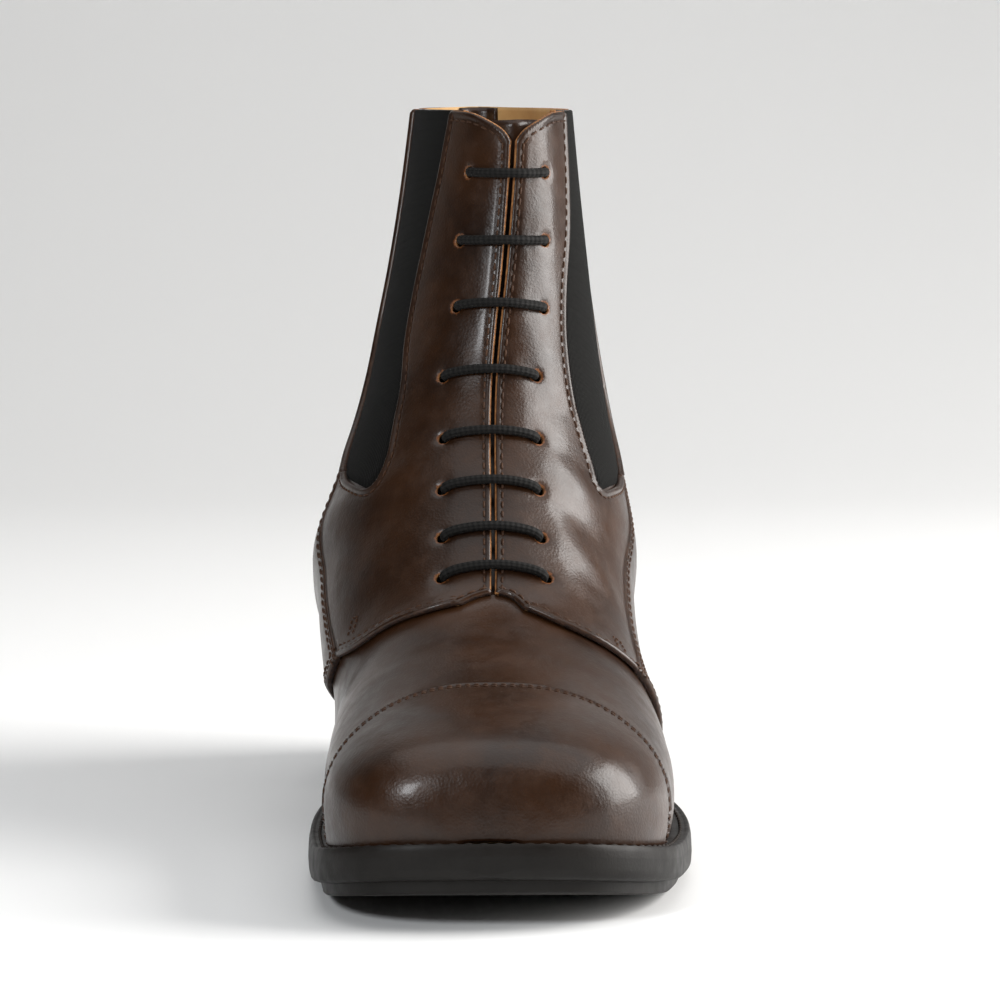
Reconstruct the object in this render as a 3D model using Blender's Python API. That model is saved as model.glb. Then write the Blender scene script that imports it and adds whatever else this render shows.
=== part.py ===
"""Paddock boot, left shoe. Toe towards -Y, outer side towards +X, sole on Z = 0, metres.

The upper is a surface skin(u, v): u runs from the toe tip over the instep to the collar, and
v runs round each section from the inner feather line (-1) over the middle (0) to the outer
one (1). Past HEEL_ROW the two ends meet on the back seam. Every panel is a piece of skin.
"""
import math

import bmesh
import bpy
import numpy as np
from mathutils import Matrix, Vector

# Driving sizes
SOLE_LENGTH = 0.272
BALL_WIDTH = 0.094
UPPER_HEIGHT = 0.155
HEEL_HEIGHT = 0.017
TOE_SPRING = 0.0095

# Layers of the sole, upwards from the floor side
TREAD_DEPTH = 0.0030
BAND_DEPTH = 0.0052
WELT_DEPTH = 0.0024
INSOLE_DEPTH = 0.0025
TREAD_INSET = 0.0028
WELT_INSET = 0.0003
HEEL_TAPER = 0.0016
HEEL_GROOVE = 0.0010
TOE_REACH = 0.0050
HEEL_REACH = 0.0026

# Walls and clearances
CLEAR = 0.0003
LAY = 0.0005
UPPER_WALL = 0.0016
PANEL_WALL = 0.0013
BACK_WALL = 0.0017
GORE_WALL = 0.0008
TONGUE_WALL = 0.0020
INSOLE_GAP = 0.0022

# Lacing
CORD_RADIUS = 0.0012
EYELET_RADIUS = 0.0016
EYELET_REACH_LOW = 0.0125
EYELET_REACH_TOP = 0.0100
FACING_GAP = 0.0018
SLIT_REACH = 0.0180
TONGUE_REACH = 0.0225
BAR_ROWS = [22.0, 20.75, 19.4, 17.6, 15.1, 12.9, 11.1, 9.6]

# Loop at the back
LOOP_WIDTH = 0.015
LOOP_HEIGHT = 0.030
LOOP_WALL = 0.0016
LOOP_DROP = 0.005

# Shares of the sole's length where its underside changes
SPRING_END, WAIST_START, WAIST_END, HEEL_BREAST = 0.29, 0.41, 0.72, 0.735
TOE_ROUND, TOE_POWER = 0.16, 3.0
HEEL_ROUND, HEEL_POWER = 0.13, 2.2

# Half widths of the sole in percent of BALL_WIDTH, at a percent of SOLE_LENGTH
SIDES = [
    # at, inner, outer
    (0, 42.5, 40.5),
    (15, 45.5, 46.5),
    (28, 47.5, 50.5),
    (40, 45.5, 49.5),
    (55, 37.5, 42.5),
    (70, 33.5, 37.5),
    (85, 34.0, 36.0),
    (100, 32.0, 33.0),
]

# Sections of the upper. top, low: where the section's upper and lower ends stand, in percent of
# the feather line's length from its tip. top_h, low_h: their heights over the feather line, in percent of
# UPPER_HEIGHT. in_w, out_w: how far the sides stand out past the feather line, and lean: how far
# the top end stands to the outer side, in percent of BALL_WIDTH. wide: share of the height where
# the section is widest. round: power of the upper curve, low_p: power of the lower one
SECTIONS = [
    # top, top_h, low, low_h, in_w, out_w, lean, wide, round, low_p
    (0.0, 0.0, 0.0, 0.0, 0.0, 0.0, -3.0, 0.30, 2.40, 2.0),
    (0.4, 6.9, 0.4, 0.0, 0.3, 0.5, -2.8, 0.30, 2.40, 2.0),
    (1.5, 11.6, 1.5, 0.0, 0.4, 0.8, -2.6, 0.30, 2.40, 2.0),
    (3.8, 15.0, 3.8, 0.0, 0.5, 1.0, -2.3, 0.29, 2.45, 2.0),
    (7.6, 17.9, 7.6, 0.0, 0.6, 1.2, -2.1, 0.27, 2.45, 2.0),
    (13.2, 21.0, 13.2, 0.0, 0.6, 1.3, -1.9, 0.25, 2.40, 2.0),
    (20.4, 23.9, 20.8, 0.0, 0.8, 1.3, -1.6, 0.23, 2.35, 2.0),
    (28.4, 27.9, 29.1, 0.0, 1.2, 0.9, -0.9, 0.20, 2.25, 2.0),
    (34.8, 31.8, 36.3, 0.0, 1.7, 0.3, 0.0, 0.19, 2.10, 2.0),
    (38.2, 35.4, 41.9, 0.0, 2.2, 0.0, 0.3, 0.22, 2.00, 2.0),
    (40.1, 38.9, 49.5, 0.0, 5.8, 0.3, 0.5, 0.30, 1.95, 2.0),
    (41.9, 42.7, 57.9, 0.0, 10.2, 1.0, 0.6, 0.38, 1.95, 2.0),
    (43.9, 46.3, 66.9, 0.0, 13.4, 2.8, 0.7, 0.45, 1.95, 2.1),
    (45.5, 49.8, 76.8, 0.0, 14.9, 5.2, 0.8, 0.51, 1.95, 2.3),
    (47.1, 52.9, 86.6, 0.0, 15.6, 6.8, 0.8, 0.56, 1.95, 2.7),
    (48.4, 55.9, 94.9, 0.0, 15.4, 8.0, 0.9, 0.58, 1.95, 3.3),
    (49.5, 59.0, 100.0, 0.0, 14.0, 8.0, 1.0, 0.59, 1.95, 4.0),
    (50.7, 62.5, 100.6, 11.5, 10.8, 6.1, 1.3, 0.58, 1.95, 3.6),
    (51.8, 66.8, 99.9, 24.4, 6.9, 3.3, 1.9, 0.57, 1.95, 3.0),
    (52.9, 72.5, 98.1, 37.9, 3.5, 0.3, 2.9, 0.55, 1.90, 2.6),
    (54.1, 79.3, 96.5, 52.1, 0.6, -2.9, 4.3, 0.53, 1.90, 2.3),
    (55.0, 87.2, 95.6, 67.0, -2.7, -5.8, 5.5, 0.52, 1.90, 2.1),
    (55.7, 95.6, 95.8, 83.1, -5.6, -8.4, 6.6, 0.51, 1.90, 2.0),
    (56.1, 105.4, 96.9, 100.5, -8.2, -10.7, 7.4, 0.51, 1.90, 2.0),
]
HEEL_ROW = 16
LAST_ROW = len(SECTIONS) - 1
WIDEST_V = 0.56
SOLE_TOP = TREAD_DEPTH + BAND_DEPTH + CLEAR + WELT_DEPTH


# Curves
def smooth(t):
    t = min(max(t, 0.0), 1.0)
    return t * t * (3 - 2 * t)


def through(rows, at):
    """The rows' values at a fractional row number, on a smooth curve through them."""
    last = len(rows) - 1
    at = min(max(at, 0.0), float(last))
    i = min(int(at), last - 1)
    t = at - i
    p0, p1, p2, p3 = (np.array(rows[min(max(i + k, 0), last)], float) for k in (-1, 0, 1, 2))
    bend = 2 * p0 - 5 * p1 + 4 * p2 - p3
    return 0.5 * (2 * p1 + (p2 - p0) * t + bend * t * t + (3 * p1 - p0 - 3 * p2 + p3) * t**3)


def lift(s):
    """Height of the sole's underside over the floor, s behind the toe tip."""
    at = s / SOLE_LENGTH
    toe = TOE_SPRING * max(0.0, 1 - at / SPRING_END) ** 2.1
    return toe + HEEL_HEIGHT * smooth((at - WAIST_START) / (WAIST_END - WAIST_START))


def middle(s):
    """Sideways shift of the forefoot towards the inner side."""
    return -0.03 * BALL_WIDTH * max(0.0, 1 - s / SOLE_LENGTH / 0.35) ** 2


def side_width(at, side, heel=True):
    """Half width of the sole at a share of its length, with or without its round heel end."""
    ats = [row[0] / 100 for row in SIDES]
    i = max(0, min(len(ats) - 2, int(np.searchsorted(ats, at)) - 1))
    row = i + (at - ats[i]) / (ats[i + 1] - ats[i])
    column = 1 if side < 0 else 2
    width = through([line[column : column + 1] for line in SIDES], row)[0] * BALL_WIDTH / 100
    if at < TOE_ROUND:
        width *= (1 - (1 - at / TOE_ROUND) ** TOE_POWER) ** (1 / TOE_POWER)
    if heel and at > 1 - HEEL_ROUND:
        width *= max(0.0, 1 - ((at - 1 + HEEL_ROUND) / HEEL_ROUND) ** HEEL_POWER) ** (1 / HEEL_POWER)
    return width


def inset_edge(side, toe_inset, heel_inset, heel=True):
    """(s, half width) along the sole's edge, moved inwards."""
    ats = 0.5 - 0.5 * np.cos(np.linspace(0, math.pi, 241))
    edge = np.array([(at * SOLE_LENGTH, side_width(at, side, heel)) for at in ats])
    along = np.gradient(edge, axis=0)
    inward = np.stack([along[:, 1], -along[:, 0]], 1)
    inward /= np.linalg.norm(inward, axis=1)[:, None]
    inward[0] = (1, 0)
    if heel:
        inward[-1] = (-1, 0)
    inset = toe_inset + (heel_inset - toe_inset) * np.array([smooth((at - 0.3) / 0.4) for at in ats])
    edge = edge + inward * inset[:, None]
    keep = [0]
    for i in range(1, len(edge)):
        if edge[i, 0] > edge[keep[-1], 0]:
            keep.append(i)
    return edge[keep]


FEATHER = {side: inset_edge(side, TOE_REACH, HEEL_REACH) for side in (-1, 1)}
OPEN_FEATHER = {side: inset_edge(side, TOE_REACH, HEEL_REACH, heel=False) for side in (-1, 1)}
TOE_END, HEEL_END = float(FEATHER[1][0, 0]), float(FEATHER[1][-1, 0])


def edge_width(edge, s, beyond=0.0):
    return float(np.interp(s, edge[:, 0], edge[:, 1], left=0.0, right=beyond))


# The last's surface
def section(u):
    """One section of the upper: its ends and its shape."""
    top, top_h, low, low_h, in_w, out_w, lean, wide, power, low_power = through(SECTIONS, u)
    if u < HEEL_ROW:
        low = through([row[2:3] for row in SECTIONS[: HEEL_ROW + 1]], u)[0]
    top_s = TOE_END + top / 100 * (HEEL_END - TOE_END)
    low_s = TOE_END + low / 100 * (HEEL_END - TOE_END)
    if u < HEEL_ROW:
        low_h = 0.0
        feather = [edge_width(FEATHER[side], low_s) for side in (-1, 1)]
        low_z = lift(low_s)
    else:
        feather = [0.0, 0.0]
        low_z = HEEL_HEIGHT
    spread = [edge_width(OPEN_FEATHER[side], low_s, OPEN_FEATHER[side][-1, 1]) for side in (-1, 1)]
    return {
        "top": (top_s, lift(top_s) + SOLE_TOP + CLEAR + top_h / 100 * UPPER_HEIGHT),
        "low": (low_s, low_z + SOLE_TOP + CLEAR + low_h / 100 * UPPER_HEIGHT),
        "feather": feather,
        "width": [
            spread[0] + in_w / 100 * BALL_WIDTH,
            spread[1] + out_w / 100 * BALL_WIDTH,
        ],
        "lean": (lean / 100 * BALL_WIDTH, middle(low_s)),
        "wide": wide,
        "powers": (power, low_power),
    }


def skin(u, v):
    """Point of the upper's outer face."""
    here = section(u)
    index = 0 if v < 0 else 1
    side = -1 if v < 0 else 1
    width = here["width"][index]
    feather = here["feather"][index]
    power, low_power = here["powers"]
    wide = here["wide"]
    a = min(abs(v), 1.0)
    if a <= WIDEST_V:
        turn = a / WIDEST_V * math.pi / 2
        x = width * math.sin(turn) ** (2 / power)
        q = wide + (1 - wide) * max(0.0, math.cos(turn)) ** (2 / power)
    else:
        t = (a - WIDEST_V) / (1 - WIDEST_V)
        rounding = 1 - 0.5 * smooth((u - HEEL_ROW + 5) / 6)
        x = feather + (width - feather) * max(0.0, 1 - t**low_power) ** rounding
        q = wide * (1 - t)
    s = here["low"][0] + q * (here["top"][0] - here["low"][0])
    z = here["low"][1] + q * (here["top"][1] - here["low"][1])
    shift = here["lean"][1] + q * (here["lean"][0] - here["lean"][1])
    return Vector((side * x + shift, s - SOLE_LENGTH / 2, z))


def outward(u, v):
    """Direction out of the skin."""
    du, dv = 0.08, 0.01
    low_u, high_u = max(u - du, 0.05), min(u + du, LAST_ROW)
    low_v, high_v = max(v - dv, -1.0), min(v + dv, 1.0)
    along = skin(high_u, v) - skin(low_u, v)
    across = skin(u, high_v) - skin(u, low_v)
    normal = across.cross(along)
    if abs(v) > 0.9995 and u > HEEL_ROW - 0.5:
        normal = Vector((0.0, 1.0, 0.0)) if u >= HEEL_ROW else normal
        normal.z = 0.0
    return normal.normalized()


def place(u, v, out=0.0):
    """Point at a distance outside the skin, or inside it where the distance is negative."""
    point = skin(u, v) + outward(u, v) * out
    point.z = max(point.z, lift(point.y + SOLE_LENGTH / 2) + SOLE_TOP + CLEAR)
    return point


def reach(u, arc):
    """The v at a distance from the middle, measured round the section."""
    side = -1 if arc < 0 else 1
    steps = [side * WIDEST_V * i / 40 for i in range(41)]
    points = [skin(u, v) for v in steps]
    lengths = np.concatenate([[0.0], np.cumsum([(b - a).length for a, b in zip(points, points[1:])])])
    return float(np.interp(abs(arc), lengths, steps if side > 0 else [abs(v) for v in steps])) * (
        1 if side > 0 else -1
    )


# Solids
BOOT = bpy.data.collections.new("paddock_boot")
CUTTERS = bpy.data.collections.new("cutters")


def material(name, color, roughness):
    made = bpy.data.materials.new(name)
    made.use_nodes = True
    shader = made.node_tree.nodes["Principled BSDF"]
    shader.inputs["Base Color"].default_value = (*color, 1.0)
    shader.inputs["Roughness"].default_value = roughness
    return made


def add(name, mesh, finish):
    """Puts a mesh in the boot's collection."""
    obj = bpy.data.objects.new(name, mesh)
    obj.data.materials.append(finish)
    BOOT.objects.link(obj)
    return obj


ROW_CUTS = [0.3, 0.7, 1.2, 2.0, 3.0] + list(range(4, LAST_ROW))
ROW_CUTS += [10.5, 11.5, 12.5, 13.5, 14.5, 15.4, 15.75, 15.92]
LOW_EDGE = 0.97
COLUMN_CUTS = [0.08, 0.17, 0.27, 0.37, 0.47, 0.56, 0.65, 0.74, 0.83, 0.91, LOW_EDGE]
SPREAD = 10.0
WELD = 0.00002


def turning(points):
    """Above 0 where the outline runs from +u towards +v."""
    return sum(a[0] * b[1] - b[0] * a[1] for a, b in zip(points, points[1:] + points[:1]))


def patch_faces(piece, outline):
    """Fills an outline of (u, v) points, facing out, and cuts it along the skin's rows and columns."""
    if turning(outline) > 0:
        outline = outline[::-1]
    corners = [piece.verts.new((u, v * SPREAD, 0.0)) for u, v in outline]
    piece.faces.new(corners)
    cuts = [((u, 0, 0), (1, 0, 0)) for u in ROW_CUTS]
    for v in COLUMN_CUTS:
        cuts += [((0, v * SPREAD, 0), (0, 1, 0)), ((0, -v * SPREAD, 0), (0, 1, 0))]
    cuts.append(((0, 0, 0), (0, 1, 0)))
    for point, normal in cuts:
        everything = piece.verts[:] + piece.edges[:] + piece.faces[:]
        bmesh.ops.bisect_plane(piece, geom=everything, dist=1e-5, plane_co=point, plane_no=normal)


def patch(name, outlines, finish, inner, outer):
    """A panel of the skin between two distances from it, filled from its outlines."""
    made = bmesh.new()
    for outline in outlines:
        piece = bmesh.new()
        patch_faces(piece, outline)
        bmesh.ops.triangulate(piece, faces=[f for f in piece.faces if len(f.verts) > 4])
        mesh = bpy.data.meshes.new("piece")
        piece.to_mesh(mesh)
        piece.free()
        made.from_mesh(mesh)
        bpy.data.meshes.remove(mesh)
    flat = [(vert, vert.co.x, min(max(vert.co.y / SPREAD, -1.0), 1.0)) for vert in made.verts]
    outer_faces = made.faces[:]
    copied = bmesh.ops.duplicate(made, geom=made.verts[:] + made.edges[:] + outer_faces)["vert_map"]
    inner_verts = {vert: copied[vert] for vert, _, _ in flat}
    rims = [edge for face in outer_faces for edge in face.edges if len(edge.link_faces) == 1]
    for edge in rims:
        loop = edge.link_loops[0]
        here, there = loop.vert, loop.link_loop_next.vert
        if on_back_seam(here) and on_back_seam(there):
            continue
        made.faces.new((there, here, inner_verts[here], inner_verts[there]))
    bmesh.ops.reverse_faces(made, faces=[f for f in made.faces if set(f.verts) <= set(inner_verts.values())])
    for vert, u, v in flat:
        vert.co = place(u, v, outer(u) if callable(outer) else outer)
        inner_verts[vert].co = place(u, v, inner(u) if callable(inner) else inner)
    bmesh.ops.remove_doubles(made, verts=made.verts, dist=WELD)
    bmesh.ops.triangulate(made, faces=made.faces, quad_method="SHORT_EDGE")
    mesh = bpy.data.meshes.new(name)
    made.to_mesh(mesh)
    made.free()
    for face in mesh.polygons:
        face.use_smooth = True
    return add(name, mesh, finish)


def on_back_seam(vert):
    return vert.co.x > HEEL_ROW - 1e-4 and abs(abs(vert.co.y / SPREAD) - 1) < 1e-6


def shrunk(outline, by):
    """The outline moved inwards, in the metric of about a row's and a column's length."""
    row_length, girth = 0.010, 0.11
    points = [Vector((u * row_length, v * girth)) for u, v in outline]
    turn = 1 if turning(outline) > 0 else -1
    moved = []
    for before, here, after in zip(points[-1:] + points[:-1], points, points[1:] + points[:1]):
        into = (here - before).normalized()
        away = (after - here).normalized()
        first = Vector((-into.y, into.x)) * turn
        second = Vector((-away.y, away.x)) * turn
        middle_way = (first + second).normalized()
        step = by / max(0.5, middle_way.dot(first))
        shifted = here + middle_way * step
        moved.append((shifted.x / row_length, shifted.y / girth))
    return moved


# Seams as (row of SECTIONS, v), the inner side's in -1 and the outer side's in 1
LOW_START = 0.1
CAP_EDGE = [(5.05, LOW_EDGE), (4.95, 0.55), (5.15, 0.37), (5.5, 0.22), (5.72, 0.10), (5.75, 0.0)]
DERBY_EDGE = {
    -1: [(8.3, 0.07), (8.45, 0.17), (9.25, 0.32), (10.25, 0.45)],
    1: [(8.1, 0.06), (7.85, 0.13), (7.8, 0.20), (7.9, 0.27), (8.1, 0.335)],
}
SEAM_TOP = {
    -1: [(12.0, 0.47), (14.25, 0.45), (16.3, 0.425)],
    1: [(10.5, 0.39), (13.5, 0.43), (16.5, 0.465)],
}
GORE_FRONT = {
    -1: [(14.0, 0.28), (15.0, 0.235), (17.5, 0.25), (19.25, 0.295), (21.25, 0.30), (22.97, 0.275)],
    1: [(14.1, 0.30), (15.2, 0.26), (17.25, 0.23), (18.75, 0.225), (20.0, 0.235), (21.25, 0.27), (22.97, 0.29)],
}
GORE_REAR = {
    -1: [(18.5, 0.53), (20.5, 0.60), (22.97, 0.64)],
    1: [(18.5, 0.545), (20.5, 0.60), (22.97, 0.64)],
}
SIDE_FRONT = {
    -1: [(11.3, LOW_EDGE), (10.9, 0.70)],
    1: [(10.6, LOW_EDGE), (9.6, 0.65)],
}
THROAT_ROW = 8.62
NOTCH_ROW = 22.45
SLIT_ROW = 8.9
NOTCH_REACHES = [0.0035, 0.008, 0.013]
NOTCH_ROWS = [22.55, 22.72, 22.9]


def mirrored(points, side):
    return [(u, side * v) for u, v in points]


def facing(side, arc, first, last, step=1.0):
    """Points up the laced opening at a distance from the middle."""
    rows = [first] + [r for r in np.arange(math.ceil(first + 0.3), last - 0.2, step)] + [last]
    return [(float(u), reach(float(u), side * arc)) for u in rows]


def quarter_outline(side):
    edge = mirrored(DERBY_EDGE[side], side) + mirrored(SEAM_TOP[side], side)
    edge += mirrored(GORE_FRONT[side], side)
    edge += [(u, reach(u, side * arc)) for u, arc in zip(reversed(NOTCH_ROWS), reversed(NOTCH_REACHES))]
    edge += reversed(facing(side, FACING_GAP / 2, THROAT_ROW, NOTCH_ROW))
    return edge


def gore_outline(side):
    rear = [SEAM_TOP[side][-1]] + GORE_REAR[side]
    return mirrored(GORE_FRONT[side] + rear[::-1], side)


def side_outline(side):
    corner = [DERBY_EDGE[side][-1]]
    rim = [(22.97, 0.74), (22.97, 0.83), (22.97, 0.92), (22.97, 1.0)]
    back = [(float(u), 1.0) for u in range(22, HEEL_ROW - 1, -1)]
    low = [(15.92, LOW_EDGE)]
    return mirrored(SIDE_FRONT[side] + corner + SEAM_TOP[side] + GORE_REAR[side] + rim + back + low, side)


def cap_outline():
    back = mirrored(CAP_EDGE, -1) + CAP_EDGE[-2::-1]
    front = [(LOW_START, LOW_EDGE), (LOW_START, -LOW_EDGE)]
    return back + front


def upper_outline():
    top = float(LAST_ROW)
    rim = [0.92, 0.83, 0.74, 0.65, 0.56, 0.47, 0.38, 0.30]
    left = [(LOW_START, -1.0), (float(HEEL_ROW), -1.0), (top, -1.0)] + [(top, -v) for v in rim]
    slit_left = list(reversed(facing(-1, SLIT_REACH, SLIT_ROW, top)))
    slit_right = facing(1, SLIT_REACH, SLIT_ROW, top)
    right = [(top, v) for v in reversed(rim)] + [(top, 1.0), (float(HEEL_ROW), 1.0), (LOW_START, 1.0)]
    return left + slit_left + slit_right + right


def tongue_outline():
    left = list(reversed(facing(-1, TONGUE_REACH, SLIT_ROW - 0.7, NOTCH_ROW + 0.25)))
    right = facing(1, TONGUE_REACH, SLIT_ROW - 0.7, NOTCH_ROW + 0.25)
    return left + right


def tongue_depth(u):
    """The tongue rises to the vamp's inside at its root."""
    root, deep = -(UPPER_WALL + 1.5 * CLEAR), -(2 * CORD_RADIUS + 3 * CLEAR)
    return root + (deep - root) * smooth((u - SLIT_ROW + 0.2) / 0.8)


# Sole
def slab(name, levels, finish, first=0.0, last=1.0, stations=34):
    """Plates through rings of (toe inset, heel inset, height over the underside)."""
    made = bmesh.new()
    rings = []
    for toe_inset, heel_inset, height in levels:
        edges = {side: inset_edge(side, toe_inset, heel_inset) for side in (-1, 1)}
        start = max(first * SOLE_LENGTH, float(edges[1][0, 0]))
        end = min(last * SOLE_LENGTH, float(edges[1][-1, 0]))
        ring = []
        for i in range(stations + 1):
            t = 0.5 - 0.5 * math.cos(math.pi * i / stations)
            s = start + (end - start) * t
            z = height(s)
            y = s - SOLE_LENGTH / 2
            pair = [made.verts.new((side * edge_width(edges[side], s) + middle(s), y, z)) for side in (-1, 1)]
            ring.append(pair)
        rings.append(ring)
    for upper, lower in zip(rings, rings[1:]):
        for i in range(stations):
            for k in (0, 1):
                made.faces.new((upper[i][k], upper[i + 1][k], lower[i + 1][k], lower[i][k]))
        for i in (0, stations):
            made.faces.new((upper[i][0], upper[i][1], lower[i][1], lower[i][0]))
    for ring in (rings[0], rings[-1]):
        for i in range(stations):
            made.faces.new((ring[i][0], ring[i][1], ring[i + 1][1], ring[i + 1][0]))
    bmesh.ops.remove_doubles(made, verts=made.verts, dist=WELD)
    bmesh.ops.dissolve_degenerate(made, edges=made.edges, dist=WELD)
    bmesh.ops.recalc_face_normals(made, faces=made.faces)
    mesh = bpy.data.meshes.new(name)
    made.to_mesh(mesh)
    made.free()
    return add(name, mesh, finish)


def over(height):
    return lambda s: lift(s) + height


def build_sole(rubber, leather, footbed):
    band_low = over(TREAD_DEPTH)
    band_top = over(TREAD_DEPTH + BAND_DEPTH)
    tread = (TREAD_INSET, 0.0006)
    slab("outsole", [(0, 0, band_top), (0, 0, band_low), (*tread, band_low), (*tread, over(0.0))], rubber)
    welt_low = over(TREAD_DEPTH + BAND_DEPTH + CLEAR)
    slab("welt", [(WELT_INSET, WELT_INSET, over(SOLE_TOP)), (WELT_INSET, WELT_INSET, welt_low)], leather)
    toe_edge = TOE_REACH + UPPER_WALL + INSOLE_GAP
    heel_edge = HEEL_REACH + UPPER_WALL + INSOLE_GAP
    low, high = SOLE_TOP + CLEAR, SOLE_TOP + CLEAR + INSOLE_DEPTH
    slab("insole", [(toe_edge, heel_edge, over(high)), (toe_edge, heel_edge, over(low))], footbed, stations=26)
    seat = HEEL_HEIGHT - CLEAR
    rings = [
        (0.0006, lambda s: seat),
        (0.0006 + HEEL_TAPER * 0.6, lambda s: seat * 0.42),
        (0.0006 + HEEL_TAPER * 0.6 + HEEL_GROOVE, lambda s: seat * 0.42),
        (0.0006 + HEEL_TAPER * 0.6 + HEEL_GROOVE, lambda s: seat * 0.36),
        (0.0006 + HEEL_TAPER * 0.6, lambda s: seat * 0.36),
        (0.0006 + HEEL_TAPER, lambda s: 0.0),
    ]
    slab("heel", [(inset, inset, height) for inset, height in rings], rubber, first=HEEL_BREAST, stations=16)


# Laces
def eyelet_reach(row):
    share = (row - BAR_ROWS[-1]) / (BAR_ROWS[0] - BAR_ROWS[-1])
    return EYELET_REACH_LOW + (EYELET_REACH_TOP - EYELET_REACH_LOW) * share


def cord_points():
    """The lace as one run: eight bars, and between them the stretches under the facings."""
    over_panel = LAY + PANEL_WALL + 2 * CLEAR + CORD_RADIUS
    under = -(CORD_RADIUS + CLEAR)
    bend = 0.0015
    points = []

    def at(u, arc, out):
        points.append(place(u, reach(u, arc), out))

    def rows_per_length(u):
        return 0.5 / (skin(u + 0.25, 0.0) - skin(u - 0.25, 0.0)).length

    for i, row in enumerate(BAR_ROWS):
        arc = eyelet_reach(row)
        side = -1 if i % 2 == 0 else 1
        step = rows_per_length(row) * bend
        if i == 0:
            at(row, side * arc, under)
        else:
            at(row + step, side * arc, under)
            at(row + 0.3 * step, side * arc, under + 0.3 * bend)
            at(row, side * arc, under + bend)
        at(row, side * arc, over_panel - bend)
        at(row, side * (arc - 0.3 * bend), over_panel - 0.3 * bend)
        at(row, side * (arc - bend), over_panel)
        for share in (0.5, 0.0, -0.5):
            at(row, side * arc * share, over_panel)
        at(row, -side * (arc - bend), over_panel)
        at(row, -side * (arc - 0.3 * bend), over_panel - 0.3 * bend)
        at(row, -side * arc, over_panel - bend)
        if i == len(BAR_ROWS) - 1:
            at(row, -side * arc, under)
            break
        at(row, -side * arc, under + bend)
        at(row - 0.3 * step, -side * arc, under + 0.3 * bend)
        at(row - step, -side * arc, under)
        between = (row + BAR_ROWS[i + 1]) / 2
        at(between, -side * (arc + eyelet_reach(BAR_ROWS[i + 1])) / 2, under)
    return points


def tube(name, points, radius, finish):
    curve = bpy.data.curves.new(name, "CURVE")
    curve.dimensions = "3D"
    curve.bevel_depth = radius
    curve.bevel_resolution = 1
    curve.use_fill_caps = True
    spline = curve.splines.new("POLY")
    spline.points.add(len(points) - 1)
    for knot, point in zip(spline.points, points):
        knot.co = (*point, 1.0)
    curve.materials.append(finish)
    obj = bpy.data.objects.new(name, curve)
    BOOT.objects.link(obj)
    return obj


def eyelet_cutters(side):
    """Cylinders through the facing at each eyelet of one side."""
    made = bmesh.new()
    for row in BAR_ROWS:
        v = reach(row, side * eyelet_reach(row))
        turn = outward(row, v).to_track_quat("Z", "Y").to_matrix().to_4x4()
        spot = Matrix.Translation(place(row, v, 0.001)) @ turn
        bmesh.ops.create_cone(
            made,
            cap_ends=True,
            segments=12,
            radius1=EYELET_RADIUS,
            radius2=EYELET_RADIUS,
            depth=0.006,
            matrix=spot,
        )
    mesh = bpy.data.meshes.new("eyelets")
    made.to_mesh(mesh)
    made.free()
    obj = bpy.data.objects.new("eyelets", mesh)
    CUTTERS.objects.link(obj)
    obj.hide_render = True
    obj.display_type = "WIRE"
    return obj


def cut(obj, cutter):
    change = obj.modifiers.new("cut", "BOOLEAN")
    change.operation = "DIFFERENCE"
    change.solver = "EXACT"
    change.object = cutter


def back_row(z):
    """The row at which the back seam has this height."""
    rows = np.linspace(HEEL_ROW + 1, LAST_ROW, 49)
    return float(np.interp(z, [skin(row, 1.0).z for row in rows], rows))


def pull_loop(finish):
    """A loop of tape folded flat behind the collar."""
    gap = LAY + BACK_WALL + 2 * CLEAR
    rim = skin(LAST_ROW, 1.0).z - LOOP_DROP
    rows = [back_row(rim - LOOP_HEIGHT * share) for share in (0.0, 0.35, 0.7, 1.0)]
    near = [place(row, 1.0, gap) for row in rows]
    far = [place(row, 1.0, gap + 2.2 * LOOP_WALL) for row in rows]
    fold = (near[0] + far[0]) / 2 + Vector((0, 0, LOOP_WALL))
    ring = near[::-1] + [fold] + far
    made = bmesh.new()
    half = LOOP_WIDTH / 2
    sides = [[made.verts.new((x, point.y, point.z)) for point in ring] for x in (-half, half)]
    for i in range(len(ring)):
        k = (i + 1) % len(ring)
        made.faces.new((sides[0][i], sides[0][k], sides[1][k], sides[1][i]))
    made.faces.new(sides[0][::-1])
    made.faces.new(sides[1])
    bmesh.ops.recalc_face_normals(made, faces=made.faces)
    mesh = bpy.data.meshes.new("pull_loop")
    made.to_mesh(mesh)
    made.free()
    return add("pull_loop", mesh, finish)


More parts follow.
